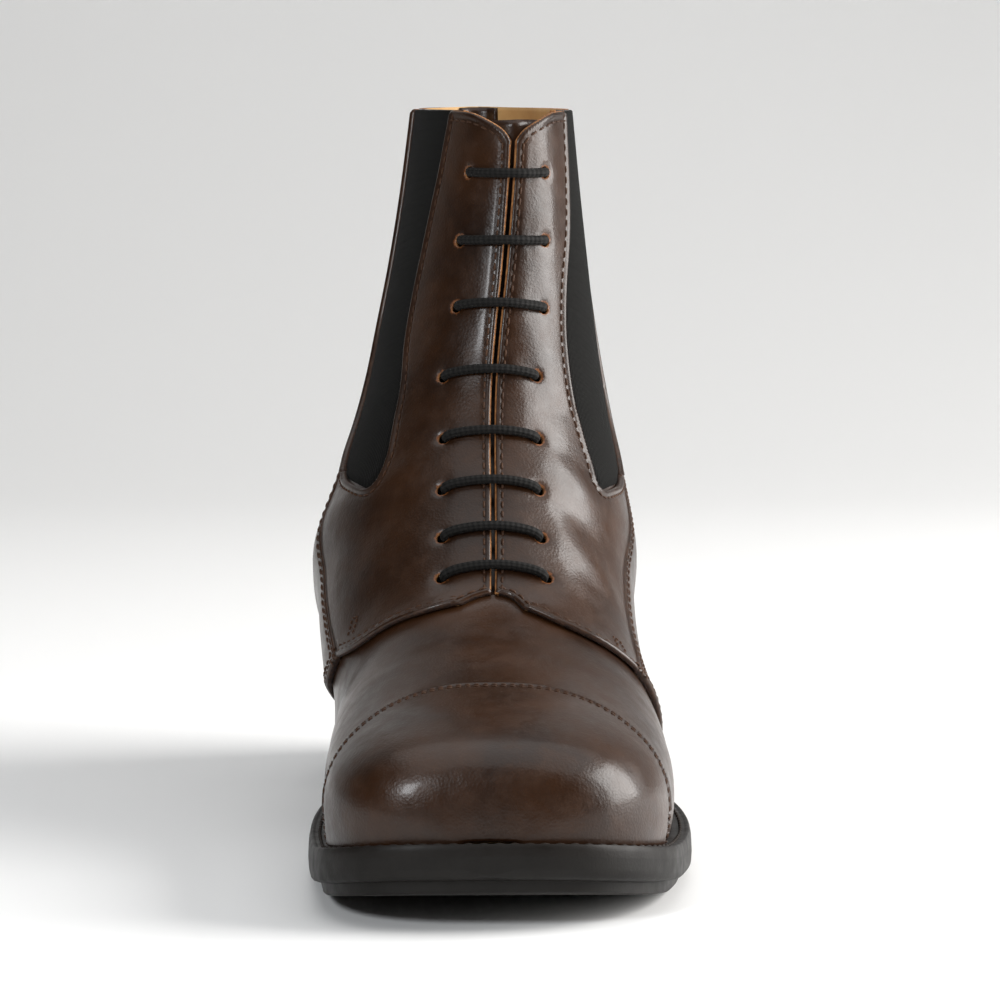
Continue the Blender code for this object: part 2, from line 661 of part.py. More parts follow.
def build():
    for obj in list(bpy.data.objects):
        bpy.data.objects.remove(obj)
    bpy.context.scene.collection.children.link(BOOT)
    bpy.context.scene.collection.children.link(CUTTERS)
    brown = material("leather", (0.055, 0.026, 0.014), 0.35)
    elastic = material("elastic", (0.014, 0.013, 0.012), 0.85)
    rubber = material("rubber", (0.022, 0.019, 0.017), 0.6)
    cord = material("cord", (0.02, 0.018, 0.017), 0.75)
    lining = material("lining", (0.55, 0.33, 0.13), 0.6)
    build_sole(rubber, brown, lining)
    patch("upper", [upper_outline()], brown, -UPPER_WALL, 0.0)
    patch("tongue", [tongue_outline()], brown, lambda u: tongue_depth(u) - TONGUE_WALL, tongue_depth)
    patch("toe_cap", [cap_outline()], brown, LAY, LAY + PANEL_WALL)
    for side, name in ((-1, "inner"), (1, "outer")):
        panel = shrunk(quarter_outline(side), 0.00025)
        facing_panel = patch("quarter_" + name, [panel], brown, LAY, LAY + PANEL_WALL)
        cut(facing_panel, eyelet_cutters(side))
        patch("gore_" + name, [shrunk(gore_outline(side), 0.0005)], elastic, LAY, LAY + GORE_WALL)
    patch("back_quarter", [side_outline(-1), side_outline(1)], brown, LAY, LAY + BACK_WALL)
    tube("lace", cord_points(), CORD_RADIUS, cord)
    pull_loop(brown)
    centre_on_floor()


def centre_on_floor():
    """Hangs every piece on an empty that brings the middle of the whole over the origin."""
    points = [vert.co for obj in BOOT.objects if obj.type == "MESH" for vert in obj.data.vertices]
    low_x, high_x = min(point.x for point in points), max(point.x for point in points)
    low_y, high_y = min(point.y for point in points), max(point.y for point in points)
    anchor = bpy.data.objects.new("boot", None)
    BOOT.objects.link(anchor)
    for obj in list(BOOT.objects) + list(CUTTERS.objects):
        if obj is not anchor:
            obj.parent = anchor
    anchor.location = (-(low_x + high_x) / 2, -(low_y + high_y) / 2, 0.0)


build()
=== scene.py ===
"""Looks of the paddock boot: fine leather panels, seams, lace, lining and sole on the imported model.

It repeats the last's surface from the source: skin(u, v), with u from the toe tip to the collar and
v round each section, so every panel lies where its solid lies. Metres, toe towards -Y.
"""
import math

import bpy
import numpy as np
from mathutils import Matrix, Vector, geometry, kdtree


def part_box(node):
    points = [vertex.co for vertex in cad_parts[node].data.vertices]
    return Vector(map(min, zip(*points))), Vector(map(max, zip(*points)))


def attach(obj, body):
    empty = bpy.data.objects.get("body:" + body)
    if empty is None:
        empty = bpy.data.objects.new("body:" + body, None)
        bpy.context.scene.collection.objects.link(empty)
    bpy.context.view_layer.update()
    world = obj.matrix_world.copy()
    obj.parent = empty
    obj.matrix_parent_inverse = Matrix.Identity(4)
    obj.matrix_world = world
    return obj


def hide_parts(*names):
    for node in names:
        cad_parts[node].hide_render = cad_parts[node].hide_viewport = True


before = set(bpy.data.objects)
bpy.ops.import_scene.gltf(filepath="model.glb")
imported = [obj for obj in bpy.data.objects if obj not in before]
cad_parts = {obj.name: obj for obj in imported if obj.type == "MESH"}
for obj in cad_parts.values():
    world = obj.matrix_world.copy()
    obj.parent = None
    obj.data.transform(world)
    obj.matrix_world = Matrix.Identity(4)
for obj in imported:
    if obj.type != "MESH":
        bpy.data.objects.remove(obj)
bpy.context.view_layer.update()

# Sizes of the source
SOLE_LENGTH = 0.272
BALL_WIDTH = 0.094
UPPER_HEIGHT = 0.155
HEEL_HEIGHT = 0.017
TOE_SPRING = 0.0095
TREAD_DEPTH = 0.0030
BAND_DEPTH = 0.0052
WELT_DEPTH = 0.0024
INSOLE_DEPTH = 0.0025
TREAD_INSET = 0.0028
WELT_INSET = 0.0003
HEEL_TAPER = 0.0016
HEEL_GROOVE = 0.0010
TOE_REACH = 0.0050
HEEL_REACH = 0.0026
CLEAR = 0.0003
LAY = 0.0005
UPPER_WALL = 0.0016
PANEL_WALL = 0.0013
BACK_WALL = 0.0017
GORE_WALL = 0.0008
TONGUE_WALL = 0.0020
INSOLE_GAP = 0.0022
CORD_RADIUS = 0.0012
EYELET_RADIUS = 0.0016
FACING_GAP = 0.0009
SLIT_REACH = 0.0180
TONGUE_REACH = 0.0225
LOOP_WIDTH = 0.015
LOOP_HEIGHT = 0.030
LOOP_WALL = 0.0016
LOOP_DROP = 0.005
SPRING_END, WAIST_START, WAIST_END, HEEL_BREAST = 0.29, 0.41, 0.72, 0.735
TOE_ROUND, TOE_POWER = 0.16, 3.0
HEEL_ROUND, HEEL_POWER = 0.13, 2.2
SIDES = np.array([
    # at, inner, outer
    (0, 42.5, 40.5),
    (15, 45.5, 46.5),
    (28, 47.5, 50.5),
    (40, 45.5, 49.5),
    (55, 37.5, 42.5),
    (70, 33.5, 37.5),
    (85, 34.0, 36.0),
    (100, 32.0, 33.0),
])
SECTIONS = np.array([
    # top, top_h, low, low_h, in_w, out_w, lean, wide, round, low_p
    (0.0, 0.0, 0.0, 0.0, 0.0, 0.0, -3.0, 0.30, 2.40, 2.0),
    (0.4, 6.9, 0.4, 0.0, 0.3, 0.5, -2.8, 0.30, 2.40, 2.0),
    (1.5, 11.6, 1.5, 0.0, 0.4, 0.8, -2.6, 0.30, 2.40, 2.0),
    (3.8, 15.0, 3.8, 0.0, 0.5, 1.0, -2.3, 0.29, 2.45, 2.0),
    (7.6, 17.9, 7.6, 0.0, 0.6, 1.2, -2.1, 0.27, 2.45, 2.0),
    (13.2, 21.0, 13.2, 0.0, 0.6, 1.3, -1.9, 0.25, 2.40, 2.0),
    (20.4, 23.9, 20.8, 0.0, 0.8, 1.3, -1.6, 0.23, 2.35, 2.0),
    (28.4, 27.9, 29.1, 0.0, 1.2, 0.9, -0.9, 0.20, 2.25, 2.0),
    (34.8, 31.8, 36.3, 0.0, 1.7, 0.3, 0.0, 0.19, 2.10, 2.0),
    (38.2, 35.4, 41.9, 0.0, 2.2, 0.0, 0.3, 0.22, 2.00, 2.0),
    (40.1, 38.9, 49.5, 0.0, 5.8, 0.3, 0.5, 0.30, 1.95, 2.0),
    (41.9, 42.7, 57.9, 0.0, 10.2, 1.0, 0.6, 0.38, 1.95, 2.0),
    (43.9, 46.3, 66.9, 0.0, 13.4, 2.8, 0.7, 0.45, 1.95, 2.1),
    (45.5, 49.8, 76.8, 0.0, 14.9, 5.2, 0.8, 0.51, 1.95, 2.3),
    (47.1, 52.9, 86.6, 0.0, 15.6, 6.8, 0.8, 0.56, 1.95, 2.7),
    (48.4, 55.9, 94.9, 0.0, 15.4, 8.0, 0.9, 0.58, 1.95, 3.3),
    (49.5, 59.0, 100.0, 0.0, 14.0, 8.0, 1.0, 0.59, 1.95, 4.0),
    (50.7, 62.5, 100.6, 11.5, 10.8, 6.1, 1.3, 0.58, 1.95, 3.6),
    (51.8, 66.8, 99.9, 24.4, 6.9, 3.3, 1.9, 0.57, 1.95, 3.0),
    (52.9, 72.5, 98.1, 37.9, 3.5, 0.3, 2.9, 0.55, 1.90, 2.6),
    (54.1, 79.3, 96.5, 52.1, 0.6, -2.9, 4.3, 0.53, 1.90, 2.3),
    (55.0, 87.2, 95.6, 67.0, -2.7, -5.8, 5.5, 0.52, 1.90, 2.1),
    (55.7, 95.6, 95.8, 83.1, -5.6, -8.4, 6.6, 0.51, 1.90, 2.0),
    (56.1, 105.4, 96.9, 100.5, -8.2, -10.7, 7.4, 0.51, 1.90, 2.0),
])
HEEL_ROW = 16
LAST_ROW = len(SECTIONS) - 1
WIDEST_V = 0.56
SOLE_TOP = TREAD_DEPTH + BAND_DEPTH + CLEAR + WELT_DEPTH

# Seams as (row, v), the inner side's in -1 and the outer side's in 1
CAP_EDGE = [(4.95, 1.0), (4.95, 0.55), (5.15, 0.37), (5.5, 0.22), (5.72, 0.10), (5.75, 0.0)]
DERBY_EDGE = {
    -1: [(8.3, 0.07), (8.45, 0.17), (9.25, 0.32), (10.25, 0.45)],
    1: [(8.1, 0.06), (7.85, 0.13), (7.8, 0.20), (7.9, 0.27), (8.1, 0.335)],
}
SEAM_TOP = {
    -1: [(12.0, 0.47), (14.25, 0.45), (16.3, 0.425)],
    1: [(10.5, 0.39), (13.5, 0.43), (16.5, 0.465)],
}
GORE_FRONT = {
    -1: [(14.0, 0.28), (15.0, 0.235), (17.5, 0.25), (19.25, 0.295), (21.25, 0.30), (22.97, 0.275)],
    1: [
        (14.1, 0.30), (15.2, 0.26), (17.25, 0.23), (18.75, 0.225), (20.0, 0.235), (21.25, 0.27),
        (22.97, 0.29),
    ],
}
GORE_REAR = {
    -1: [(18.5, 0.53), (20.5, 0.60), (22.97, 0.64)],
    1: [(18.5, 0.545), (20.5, 0.60), (22.97, 0.64)],
}
SIDE_FRONT = {-1: [(11.3, 1.0), (10.9, 0.70)], 1: [(10.6, 1.0), (9.6, 0.65)]}
RIM_ROW, TOE_ROW, EDGE_ROW = 22.97, 0.12, 4.95
THROAT_ROW, THROAT_V = 8.62, 0.035
NOTCH_ROW = 22.45
SLIT_ROW = 8.9
NOTCH_REACHES = [0.0024, 0.0064, 0.0135]
NOTCH_ROWS = [22.61, 22.76, 22.93]

EYELET_SHIFT = 0.0006
# Depth of the groove that stitches lie in, and the length over one unit of v round the throat
GROOVE = 0.00022
ARC_PER_V = 0.105

# Bars of the lace. row, reach of the inner and the outer eyelet from the middle, sag, in mm
BARS = [
    (22.00, 11.0, 8.8, 0.7),
    (20.75, 12.0, 9.8, 0.9),
    (19.40, 10.8, 11.1, 0.2),
    (17.60, 12.6, 10.2, -0.3),
    (15.10, 11.6, 10.9, -0.5),
    (12.90, 12.0, 10.9, -0.5),
    (11.10, 12.0, 11.3, -0.4),
    (9.60, 12.1, 12.6, -0.3),
]


# Curves
def smooth(t):
    t = np.clip(t, 0.0, 1.0)
    return t * t * (3 - 2 * t)


def through(rows, at):
    """The rows' values at fractional row numbers, on a smooth curve through them."""
    rows = np.asarray(rows, float)
    last = len(rows) - 1
    at = np.clip(np.asarray(at, float), 0, last)
    i = np.minimum(at.astype(int), last - 1)
    t = (at - i)[..., None]
    p0, p1, p2, p3 = (rows[np.clip(i + k, 0, last)] for k in (-1, 0, 1, 2))
    bend = 2 * p0 - 5 * p1 + 4 * p2 - p3
    return 0.5 * (2 * p1 + (p2 - p0) * t + bend * t * t + (3 * p1 - p0 - 3 * p2 + p3) * t**3)


def unit(vectors):
    return vectors / (np.linalg.norm(vectors, axis=-1)[..., None] + 1e-12)


def lengths_along(points):
    """The distance from the first point to each one, along the line."""
    return np.concatenate([[0.0], np.cumsum(np.linalg.norm(np.diff(points, axis=0), axis=1))])


def sample(line, lengths, at):
    """The line's points at some of these lengths."""
    return np.stack([np.interp(at, lengths, column) for column in line.T], 1)


def lift(s):
    """How high the sole's underside lies at a distance from the toe."""
    at = np.asarray(s, float) / SOLE_LENGTH
    toe = TOE_SPRING * np.maximum(0.0, 1 - at / SPRING_END) ** 2.1
    return toe + HEEL_HEIGHT * smooth((at - WAIST_START) / (WAIST_END - WAIST_START))


def middle(s):
    """How far the sole's middle line bends to the inner side."""
    return -0.03 * BALL_WIDTH * np.maximum(0.0, 1 - np.asarray(s) / SOLE_LENGTH / 0.35) ** 2


def side_width(at, side, heel=True):
    """Half width of the sole at a share of its length, with or without the heel's round end."""
    ats = SIDES[:, 0] / 100
    i = np.clip(np.searchsorted(ats, at) - 1, 0, len(ats) - 2)
    row = i + (at - ats[i]) / (ats[i + 1] - ats[i])
    column = 1 if side < 0 else 2
    width = through(SIDES[:, column : column + 1], row)[..., 0] * BALL_WIDTH / 100
    near_toe = np.maximum(0.0, 1 - at / TOE_ROUND)
    width = width * (1 - near_toe**TOE_POWER) ** (1 / TOE_POWER)
    if heel:
        near_heel = np.clip((at - 1 + HEEL_ROUND) / HEEL_ROUND, 0.0, 1.0)
        width = width * (1 - near_heel**HEEL_POWER) ** (1 / HEEL_POWER)
    return width


def inset_edge(side, toe_inset, heel_inset, heel=True):
    """(s, half width) along the sole's edge, moved inwards."""
    ats = 0.5 - 0.5 * np.cos(np.linspace(0, math.pi, 721))
    edge = np.stack([ats * SOLE_LENGTH, side_width(ats, side, heel)], 1)
    along = np.gradient(edge, axis=0)
    inward = unit(np.stack([along[:, 1], -along[:, 0]], 1))
    inward[0] = (1, 0)
    if heel:
        inward[-1] = (-1, 0)
    inset = toe_inset + (heel_inset - toe_inset) * smooth((ats - 0.3) / 0.4)
    edge = edge + inward * inset[:, None]
    keep = [0]
    for i in range(1, len(edge)):
        if edge[i, 0] > edge[keep[-1], 0]:
            keep.append(i)
    return edge[keep]


FEATHER = {side: inset_edge(side, TOE_REACH, HEEL_REACH) for side in (-1, 1)}
OPEN_FEATHER = {side: inset_edge(side, TOE_REACH, HEEL_REACH, heel=False) for side in (-1, 1)}
TOE_END, HEEL_END = float(FEATHER[1][0, 0]), float(FEATHER[1][-1, 0])


def edge_width(edge, s, beyond=0.0):
    return np.interp(s, edge[:, 0], edge[:, 1], left=0.0, right=beyond)


# The last's surface
def skin(u, v):
    """Points of the upper's outer face, in the source's coordinates."""
    u, v = np.broadcast_arrays(np.asarray(u, float), np.asarray(v, float))
    row = np.moveaxis(through(SECTIONS, u), -1, 0)
    top, top_h, low, low_h, in_w, out_w, lean, wide, power, low_power = row
    front = u < HEEL_ROW
    low = np.where(front, through(SECTIONS[: HEEL_ROW + 1, 2:3], u)[..., 0], low)
    low_h = np.where(front, 0.0, low_h)
    top_s = TOE_END + top / 100 * (HEEL_END - TOE_END)
    low_s = TOE_END + low / 100 * (HEEL_END - TOE_END)
    inner = v < 0
    feather = np.where(inner, edge_width(FEATHER[-1], low_s), edge_width(FEATHER[1], low_s))
    feather = np.where(front, feather, 0.0)
    spread = [edge_width(OPEN_FEATHER[side], low_s, OPEN_FEATHER[side][-1, 1]) for side in (-1, 1)]
    width = np.where(inner, spread[0] + in_w / 100 * BALL_WIDTH, spread[1] + out_w / 100 * BALL_WIDTH)
    top_z = lift(top_s) + SOLE_TOP + CLEAR + top_h / 100 * UPPER_HEIGHT
    low_z = np.where(front, lift(low_s), HEEL_HEIGHT) + SOLE_TOP + CLEAR + low_h / 100 * UPPER_HEIGHT
    a = np.minimum(np.abs(v), 1.0)
    turn = np.minimum(a / WIDEST_V, 1.0) * math.pi / 2
    x_high = width * np.sin(turn) ** (2 / power)
    q_high = wide + (1 - wide) * np.maximum(0.0, np.cos(turn)) ** (2 / power)
    t = np.clip((a - WIDEST_V) / (1 - WIDEST_V), 0.0, 1.0)
    rounding = 1 - 0.5 * smooth((u - HEEL_ROW + 5) / 6)
    x_low = feather + (width - feather) * np.maximum(0.0, 1 - t**low_power) ** rounding
    q_low = wide * (1 - t)
    x = np.where(a <= WIDEST_V, x_high, x_low)
    q = np.where(a <= WIDEST_V, q_high, q_low)
    s = low_s + q * (top_s - low_s)
    z = low_z + q * (top_z - low_z)
    lean = middle(low_s) + q * (lean / 100 * BALL_WIDTH - middle(low_s))
    return np.stack([np.where(inner, -1.0, 1.0) * x + lean, s - SOLE_LENGTH / 2, z], -1)


def shift_to_frame():
    """From the source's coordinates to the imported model's."""
    ats = np.linspace(0, 1, 4001)
    low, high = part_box("outsole")
    outer = float((side_width(ats, 1) + middle(ats * SOLE_LENGTH)).max())
    return np.array([high.x - outer, (low.y + high.y) / 2, 0.0])


SHIFT = shift_to_frame()

# Soft forms of the leather. row, v, spread in rows, spread in v, height in mm, slant
FORMS = [
    (6.5, 0.10, 0.30, 0.30, -0.22, 1.5),
    (7.4, -0.12, 0.32, 0.28, -0.25, -1.2),
    (6.95, 0.0, 0.30, 0.34, 0.15, 0.3),
    (7.0, 0.42, 0.35, 0.12, -0.25, 3.0),
    (7.2, -0.46, 0.35, 0.12, -0.25, -3.0),
    (13.8, 0.20, 0.55, 0.10, 0.45, -6.0),
    (12.2, 0.24, 0.50, 0.12, -0.35, -6.0),
    (11.0, 0.26, 0.55, 0.10, 0.35, -5.0),
    (14.0, -0.19, 0.55, 0.10, 0.40, 6.0),
    (12.4, -0.25, 0.50, 0.12, -0.35, 6.0),
    (16.6, 0.17, 0.50, 0.06, -0.40, 6.0),
    (16.8, -0.17, 0.50, 0.06, -0.40, -6.0),
    (18.6, 0.13, 0.55, 0.05, 0.25, -4.0),
    (21.2, 0.17, 0.45, 0.05, 0.30, 4.0),
    (18.7, -0.15, 0.60, 0.05, 0.25, 4.0),
    (17.4, 0.72, 0.35, 0.16, -0.45, 3.0),
    (18.3, 0.82, 0.35, 0.14, 0.35, 3.0),
    (17.2, -0.72, 0.35, 0.16, -0.45, -3.0),
    (18.2, -0.84, 0.35, 0.14, 0.35, -3.0),
    (19.4, 0.90, 0.40, 0.14, -0.40, 2.0),
    (19.3, -0.90, 0.40, 0.14, -0.40, -2.0),
]


def relief(u, v):
    """How far the leather's soft forms lift it off the last."""
    total = np.zeros(np.shape(u))
    for row, column, rows, columns, height, slant in FORMS:
        across = v - column
        along = u - row - slant * across
        total += height / 1000 * np.exp(-((along / rows) ** 2) - (across / columns) ** 2)
    for row, inner, outer, _ in BARS:
        for side, arc in ((-1, inner), (1, outer)):
            across = (v * ARC_PER_V - side * arc / 1000) * 1000
            along = (u - row) * 5.0
            total -= 0.00025 * np.exp(-(across**2 + along**2) / 9.0)
    return total


def surface(u, v):
    """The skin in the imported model's place, eased where the sections turn round the heel."""
    u, v = np.broadcast_arrays(np.asarray(u, float), np.asarray(v, float))
    ease = 1.0 * np.exp(-(((u - HEEL_ROW) / 1.3) ** 2)) * (1 - np.abs(v) ** 14)
    total = np.zeros(u.shape + (3,))
    for step, weight in ((-1, 1), (-0.5, 2), (0, 3), (0.5, 2), (1, 1)):
        total += weight / 9 * skin(u + step * ease, v)
    return total + SHIFT


def slopes(u, v):
    """Points, their changes along u and v, and the outward direction."""
    du, dv = 0.03, 0.004
    u, v = np.broadcast_arrays(np.asarray(u, float), np.asarray(v, float))
    turn_u = np.maximum(u, 0.5)
    low_u, high_u = np.maximum(turn_u - du, 0.03), np.minimum(turn_u + du, LAST_ROW)
    low_v, high_v = np.maximum(v - dv, -1.0), np.minimum(v + dv, 1.0)
    along = (surface(high_u, v) - surface(low_u, v)) / (high_u - low_u)[..., None]
    across = (surface(turn_u, high_v) - surface(turn_u, low_v)) / (high_v - low_v)[..., None]
    normal = np.cross(across, along)
    at_seam = smooth((np.abs(v) - 0.985) / 0.015) * (u > HEEL_ROW)
    rise = unit(along)
    behind = np.stack([np.zeros(u.shape), rise[..., 2], -rise[..., 1]], -1)
    normal = unit(normal) * (1 - at_seam)[..., None] + behind * at_seam[..., None]
    return surface(u, v), along, across, unit(normal)


def above_welt(points):
    """The points, with those below the welt's top raised to it."""
    floor = lift(points[..., 1] - SHIFT[1] + SOLE_LENGTH / 2) + SOLE_TOP + 0.0001
    points[..., 2] = np.maximum(points[..., 2], floor)
    return points


def place(u, v, out=0.0, bumps=True):
    """Points at a distance outside the skin, never below the welt's top."""
    point, _, _, normal = slopes(u, v)
    height = out + (relief(np.asarray(u, float), np.asarray(v, float)) if bumps else 0.0)
    point = point + normal * np.broadcast_to(height, point.shape[:-1])[..., None]
    return above_welt(point), normal


def reach(u, arc):
    """The v at a distance from the middle, measured round the section."""
    side = -1 if arc < 0 else 1
    steps = np.linspace(0, WIDEST_V, 121)
    lengths = lengths_along(surface(np.full(121, float(u)), side * steps))
    return side * float(np.interp(abs(arc), lengths, steps))


def trace(control, spacing=0.001):
    """(u, v) points at even spacing along a smooth curve through the control points."""
    control = np.array(control, float)
    at = np.linspace(0, len(control) - 1, 40 * (len(control) - 1) + 1)
    curve = through(control, at)
    curve[:, 1] = np.clip(curve[:, 1], -1, 1)
    length = lengths_along(surface(curve[:, 0], curve[:, 1]))
    count = max(2, int(round(length[-1] / spacing)) + 1)
    s = np.linspace(0, length[-1], count)
    return sample(curve, length, s)


def steps_on_surface(along, across, offsets):
    """The changes of (u, v) that make these offsets, given the surface's changes along u and v."""
    a, b, c = (along * along).sum(-1), (along * across).sum(-1), (across * across).sum(-1)
    e, f = (along * offsets).sum(-1), (across * offsets).sum(-1)
    det = a * c - b * b + 1e-18
    return np.stack([(c * e - b * f) / det, (a * f - b * e) / det], -1)


def moved(line, by, closed=False):
    """The (u, v) line moved sideways over the surface, to its left as seen from outside."""
    points, along, across, normal = slopes(line[:, 0], line[:, 1])
    if closed:
        run = np.roll(points, -1, axis=0) - np.roll(points, 1, axis=0)
    else:
        run = np.gradient(points, axis=0)
    return line + steps_on_surface(along, across, np.cross(normal, unit(run)) * by)


# Meshes
def linked(name, data):
    """A new object in the scene."""
    obj = bpy.data.objects.new(name, data)
    bpy.context.scene.collection.objects.link(obj)
    return obj


def make(name, points, faces, mats, face_mats=None, replaced=(), attrs=None):
    mesh = bpy.data.meshes.new(name)
    mesh.from_pydata(np.asarray(points).tolist(), [], [tuple(map(int, f)) for f in faces])
    for mat in mats:
        mesh.materials.append(mat)
    if face_mats is not None:
        mesh.polygons.foreach_set("material_index", np.asarray(face_mats, np.int32))
    mesh.polygons.foreach_set("use_smooth", [True] * len(mesh.polygons))
    for key, values in (attrs or {}).items():
        mesh.attributes.new(key, "FLOAT", "POINT").data.foreach_set("value", np.asarray(values, np.float32))
    mesh.update()
    obj = linked(name, mesh)
    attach(obj, "root")
    if replaced:
        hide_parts(*replaced)
    return obj


SCALE_U, SCALE_V = 0.010, 0.11


def fill(loops, inner):
    """Triangles over an outline with holes, as (u, v) points and faces facing out."""
    coords, edges = [], []
    for loop in loops:
        first = len(coords)
        coords += [Vector((u * SCALE_U, v * SCALE_V)) for u, v in loop]
        edges += [(first + i, first + (i + 1) % len(loop)) for i in range(len(loop))]
    coords += [Vector((u * SCALE_U, v * SCALE_V)) for u, v in inner]
    verts, _, faces, _, _, _ = geometry.delaunay_2d_cdt(coords, edges, [], 1, 1e-7)
    uv = np.array([(p.x / SCALE_U, p.y / SCALE_V) for p in verts])
    faces = np.array([tuple(f) for f in faces])
    corner = uv[faces]
    turn = np.cross(corner[:, 1] - corner[:, 0], corner[:, 2] - corner[:, 0])
    faces[turn > 0] = faces[turn > 0][:, ::-1]
    return uv, faces[np.abs(turn) > 1e-12]


def inside(points, loop):
    """Which (u, v) points lie inside the loop."""
    x, y = points[:, 0][:, None], points[:, 1][:, None]
    ax, ay = loop[:, 0][None], loop[:, 1][None]
    bx, by = np.roll(loop[:, 0], -1)[None], np.roll(loop[:, 1], -1)[None]
    crosses = ((ay > y) != (by > y)) & (x < (bx - ax) * (y - ay) / (by - ay + 1e-18) + ax)
    return crosses.sum(1) % 2 == 1


def ring_at(u, v, radius, count=18):
    """A round (u, v) loop on the surface."""
    _, along, across, _ = slopes(np.array([u]), np.array([v]))
    first = unit(along)
    second = unit(across - first * (across * first).sum())
    turns = np.linspace(0, 2 * math.pi, count, endpoint=False)[:, None]
    spots = radius * (np.cos(turns) * first + np.sin(turns) * second)
    return np.array([u, v]) + steps_on_surface(along, across, spots)


def search_tree(clouds):
    """A tree that finds the nearest of all the clouds' points."""
    points = np.concatenate(clouds)
    tree = kdtree.KDTree(len(points))
    for i, point in enumerate(points):
        tree.insert(point, i)
    tree.balance()
    return tree


RIM_STEPS = (0.00012, 0.00032, 0.0006, 0.0009, 0.0013, 0.0017, 0.0022, 0.0028, 0.0034, 0.0042)
ROW_STEP, COLUMN_STEP, LATTICE_GAP = 0.10, 0.014, 0.0046
NO_EDGE = 0.009
STITCHES = []


def edge_height(style, wall, d):
    """The panel's height at distances from an edge of this style."""
    if style.get("sunk"):
        return wall * smooth(d / style["sunk"]) * 0.7 + wall * 0.3
    height = wall - style.get("drop", 0.0004) * np.maximum(0.0, 1 - d / style.get("round", 0.0005)) ** 2
    for stitch in style.get("rows", ()):
        height -= style.get("groove", GROOVE) * np.exp(-(((d - stitch) / 0.00035) ** 2))
    if style.get("bead"):
        spot, width, bead = style["bead"]
        height += bead * np.exp(-(((d - spot) / width) ** 2))
    return height


def stitch_row(path, out, style):
    points, normals = place(path[:, 0], path[:, 1], out)
    sizes = style.get("length", 0.0021), style.get("space", 0.0007), style.get("thread", 0.0003)
    STITCHES.append((points, normals, *sizes))


def corner_tack(line, by, share, out):
    """Three short rows of stitches, up from the edge, along it and down again."""
    low, high = moved(line, by * 0.0045), moved(line, by * 0.0095)
    first = int(share * len(line))
    corners = np.array([low[first], high[first], high[first + 3], low[first + 3]])
    at = np.concatenate([np.linspace(0, 1, 11), np.linspace(1, 2, 7)[1:], np.linspace(2, 3, 11)[1:]])
    stitch_row(sample(corners, range(4), at), out, {"length": 0.0011, "space": 0.0003})


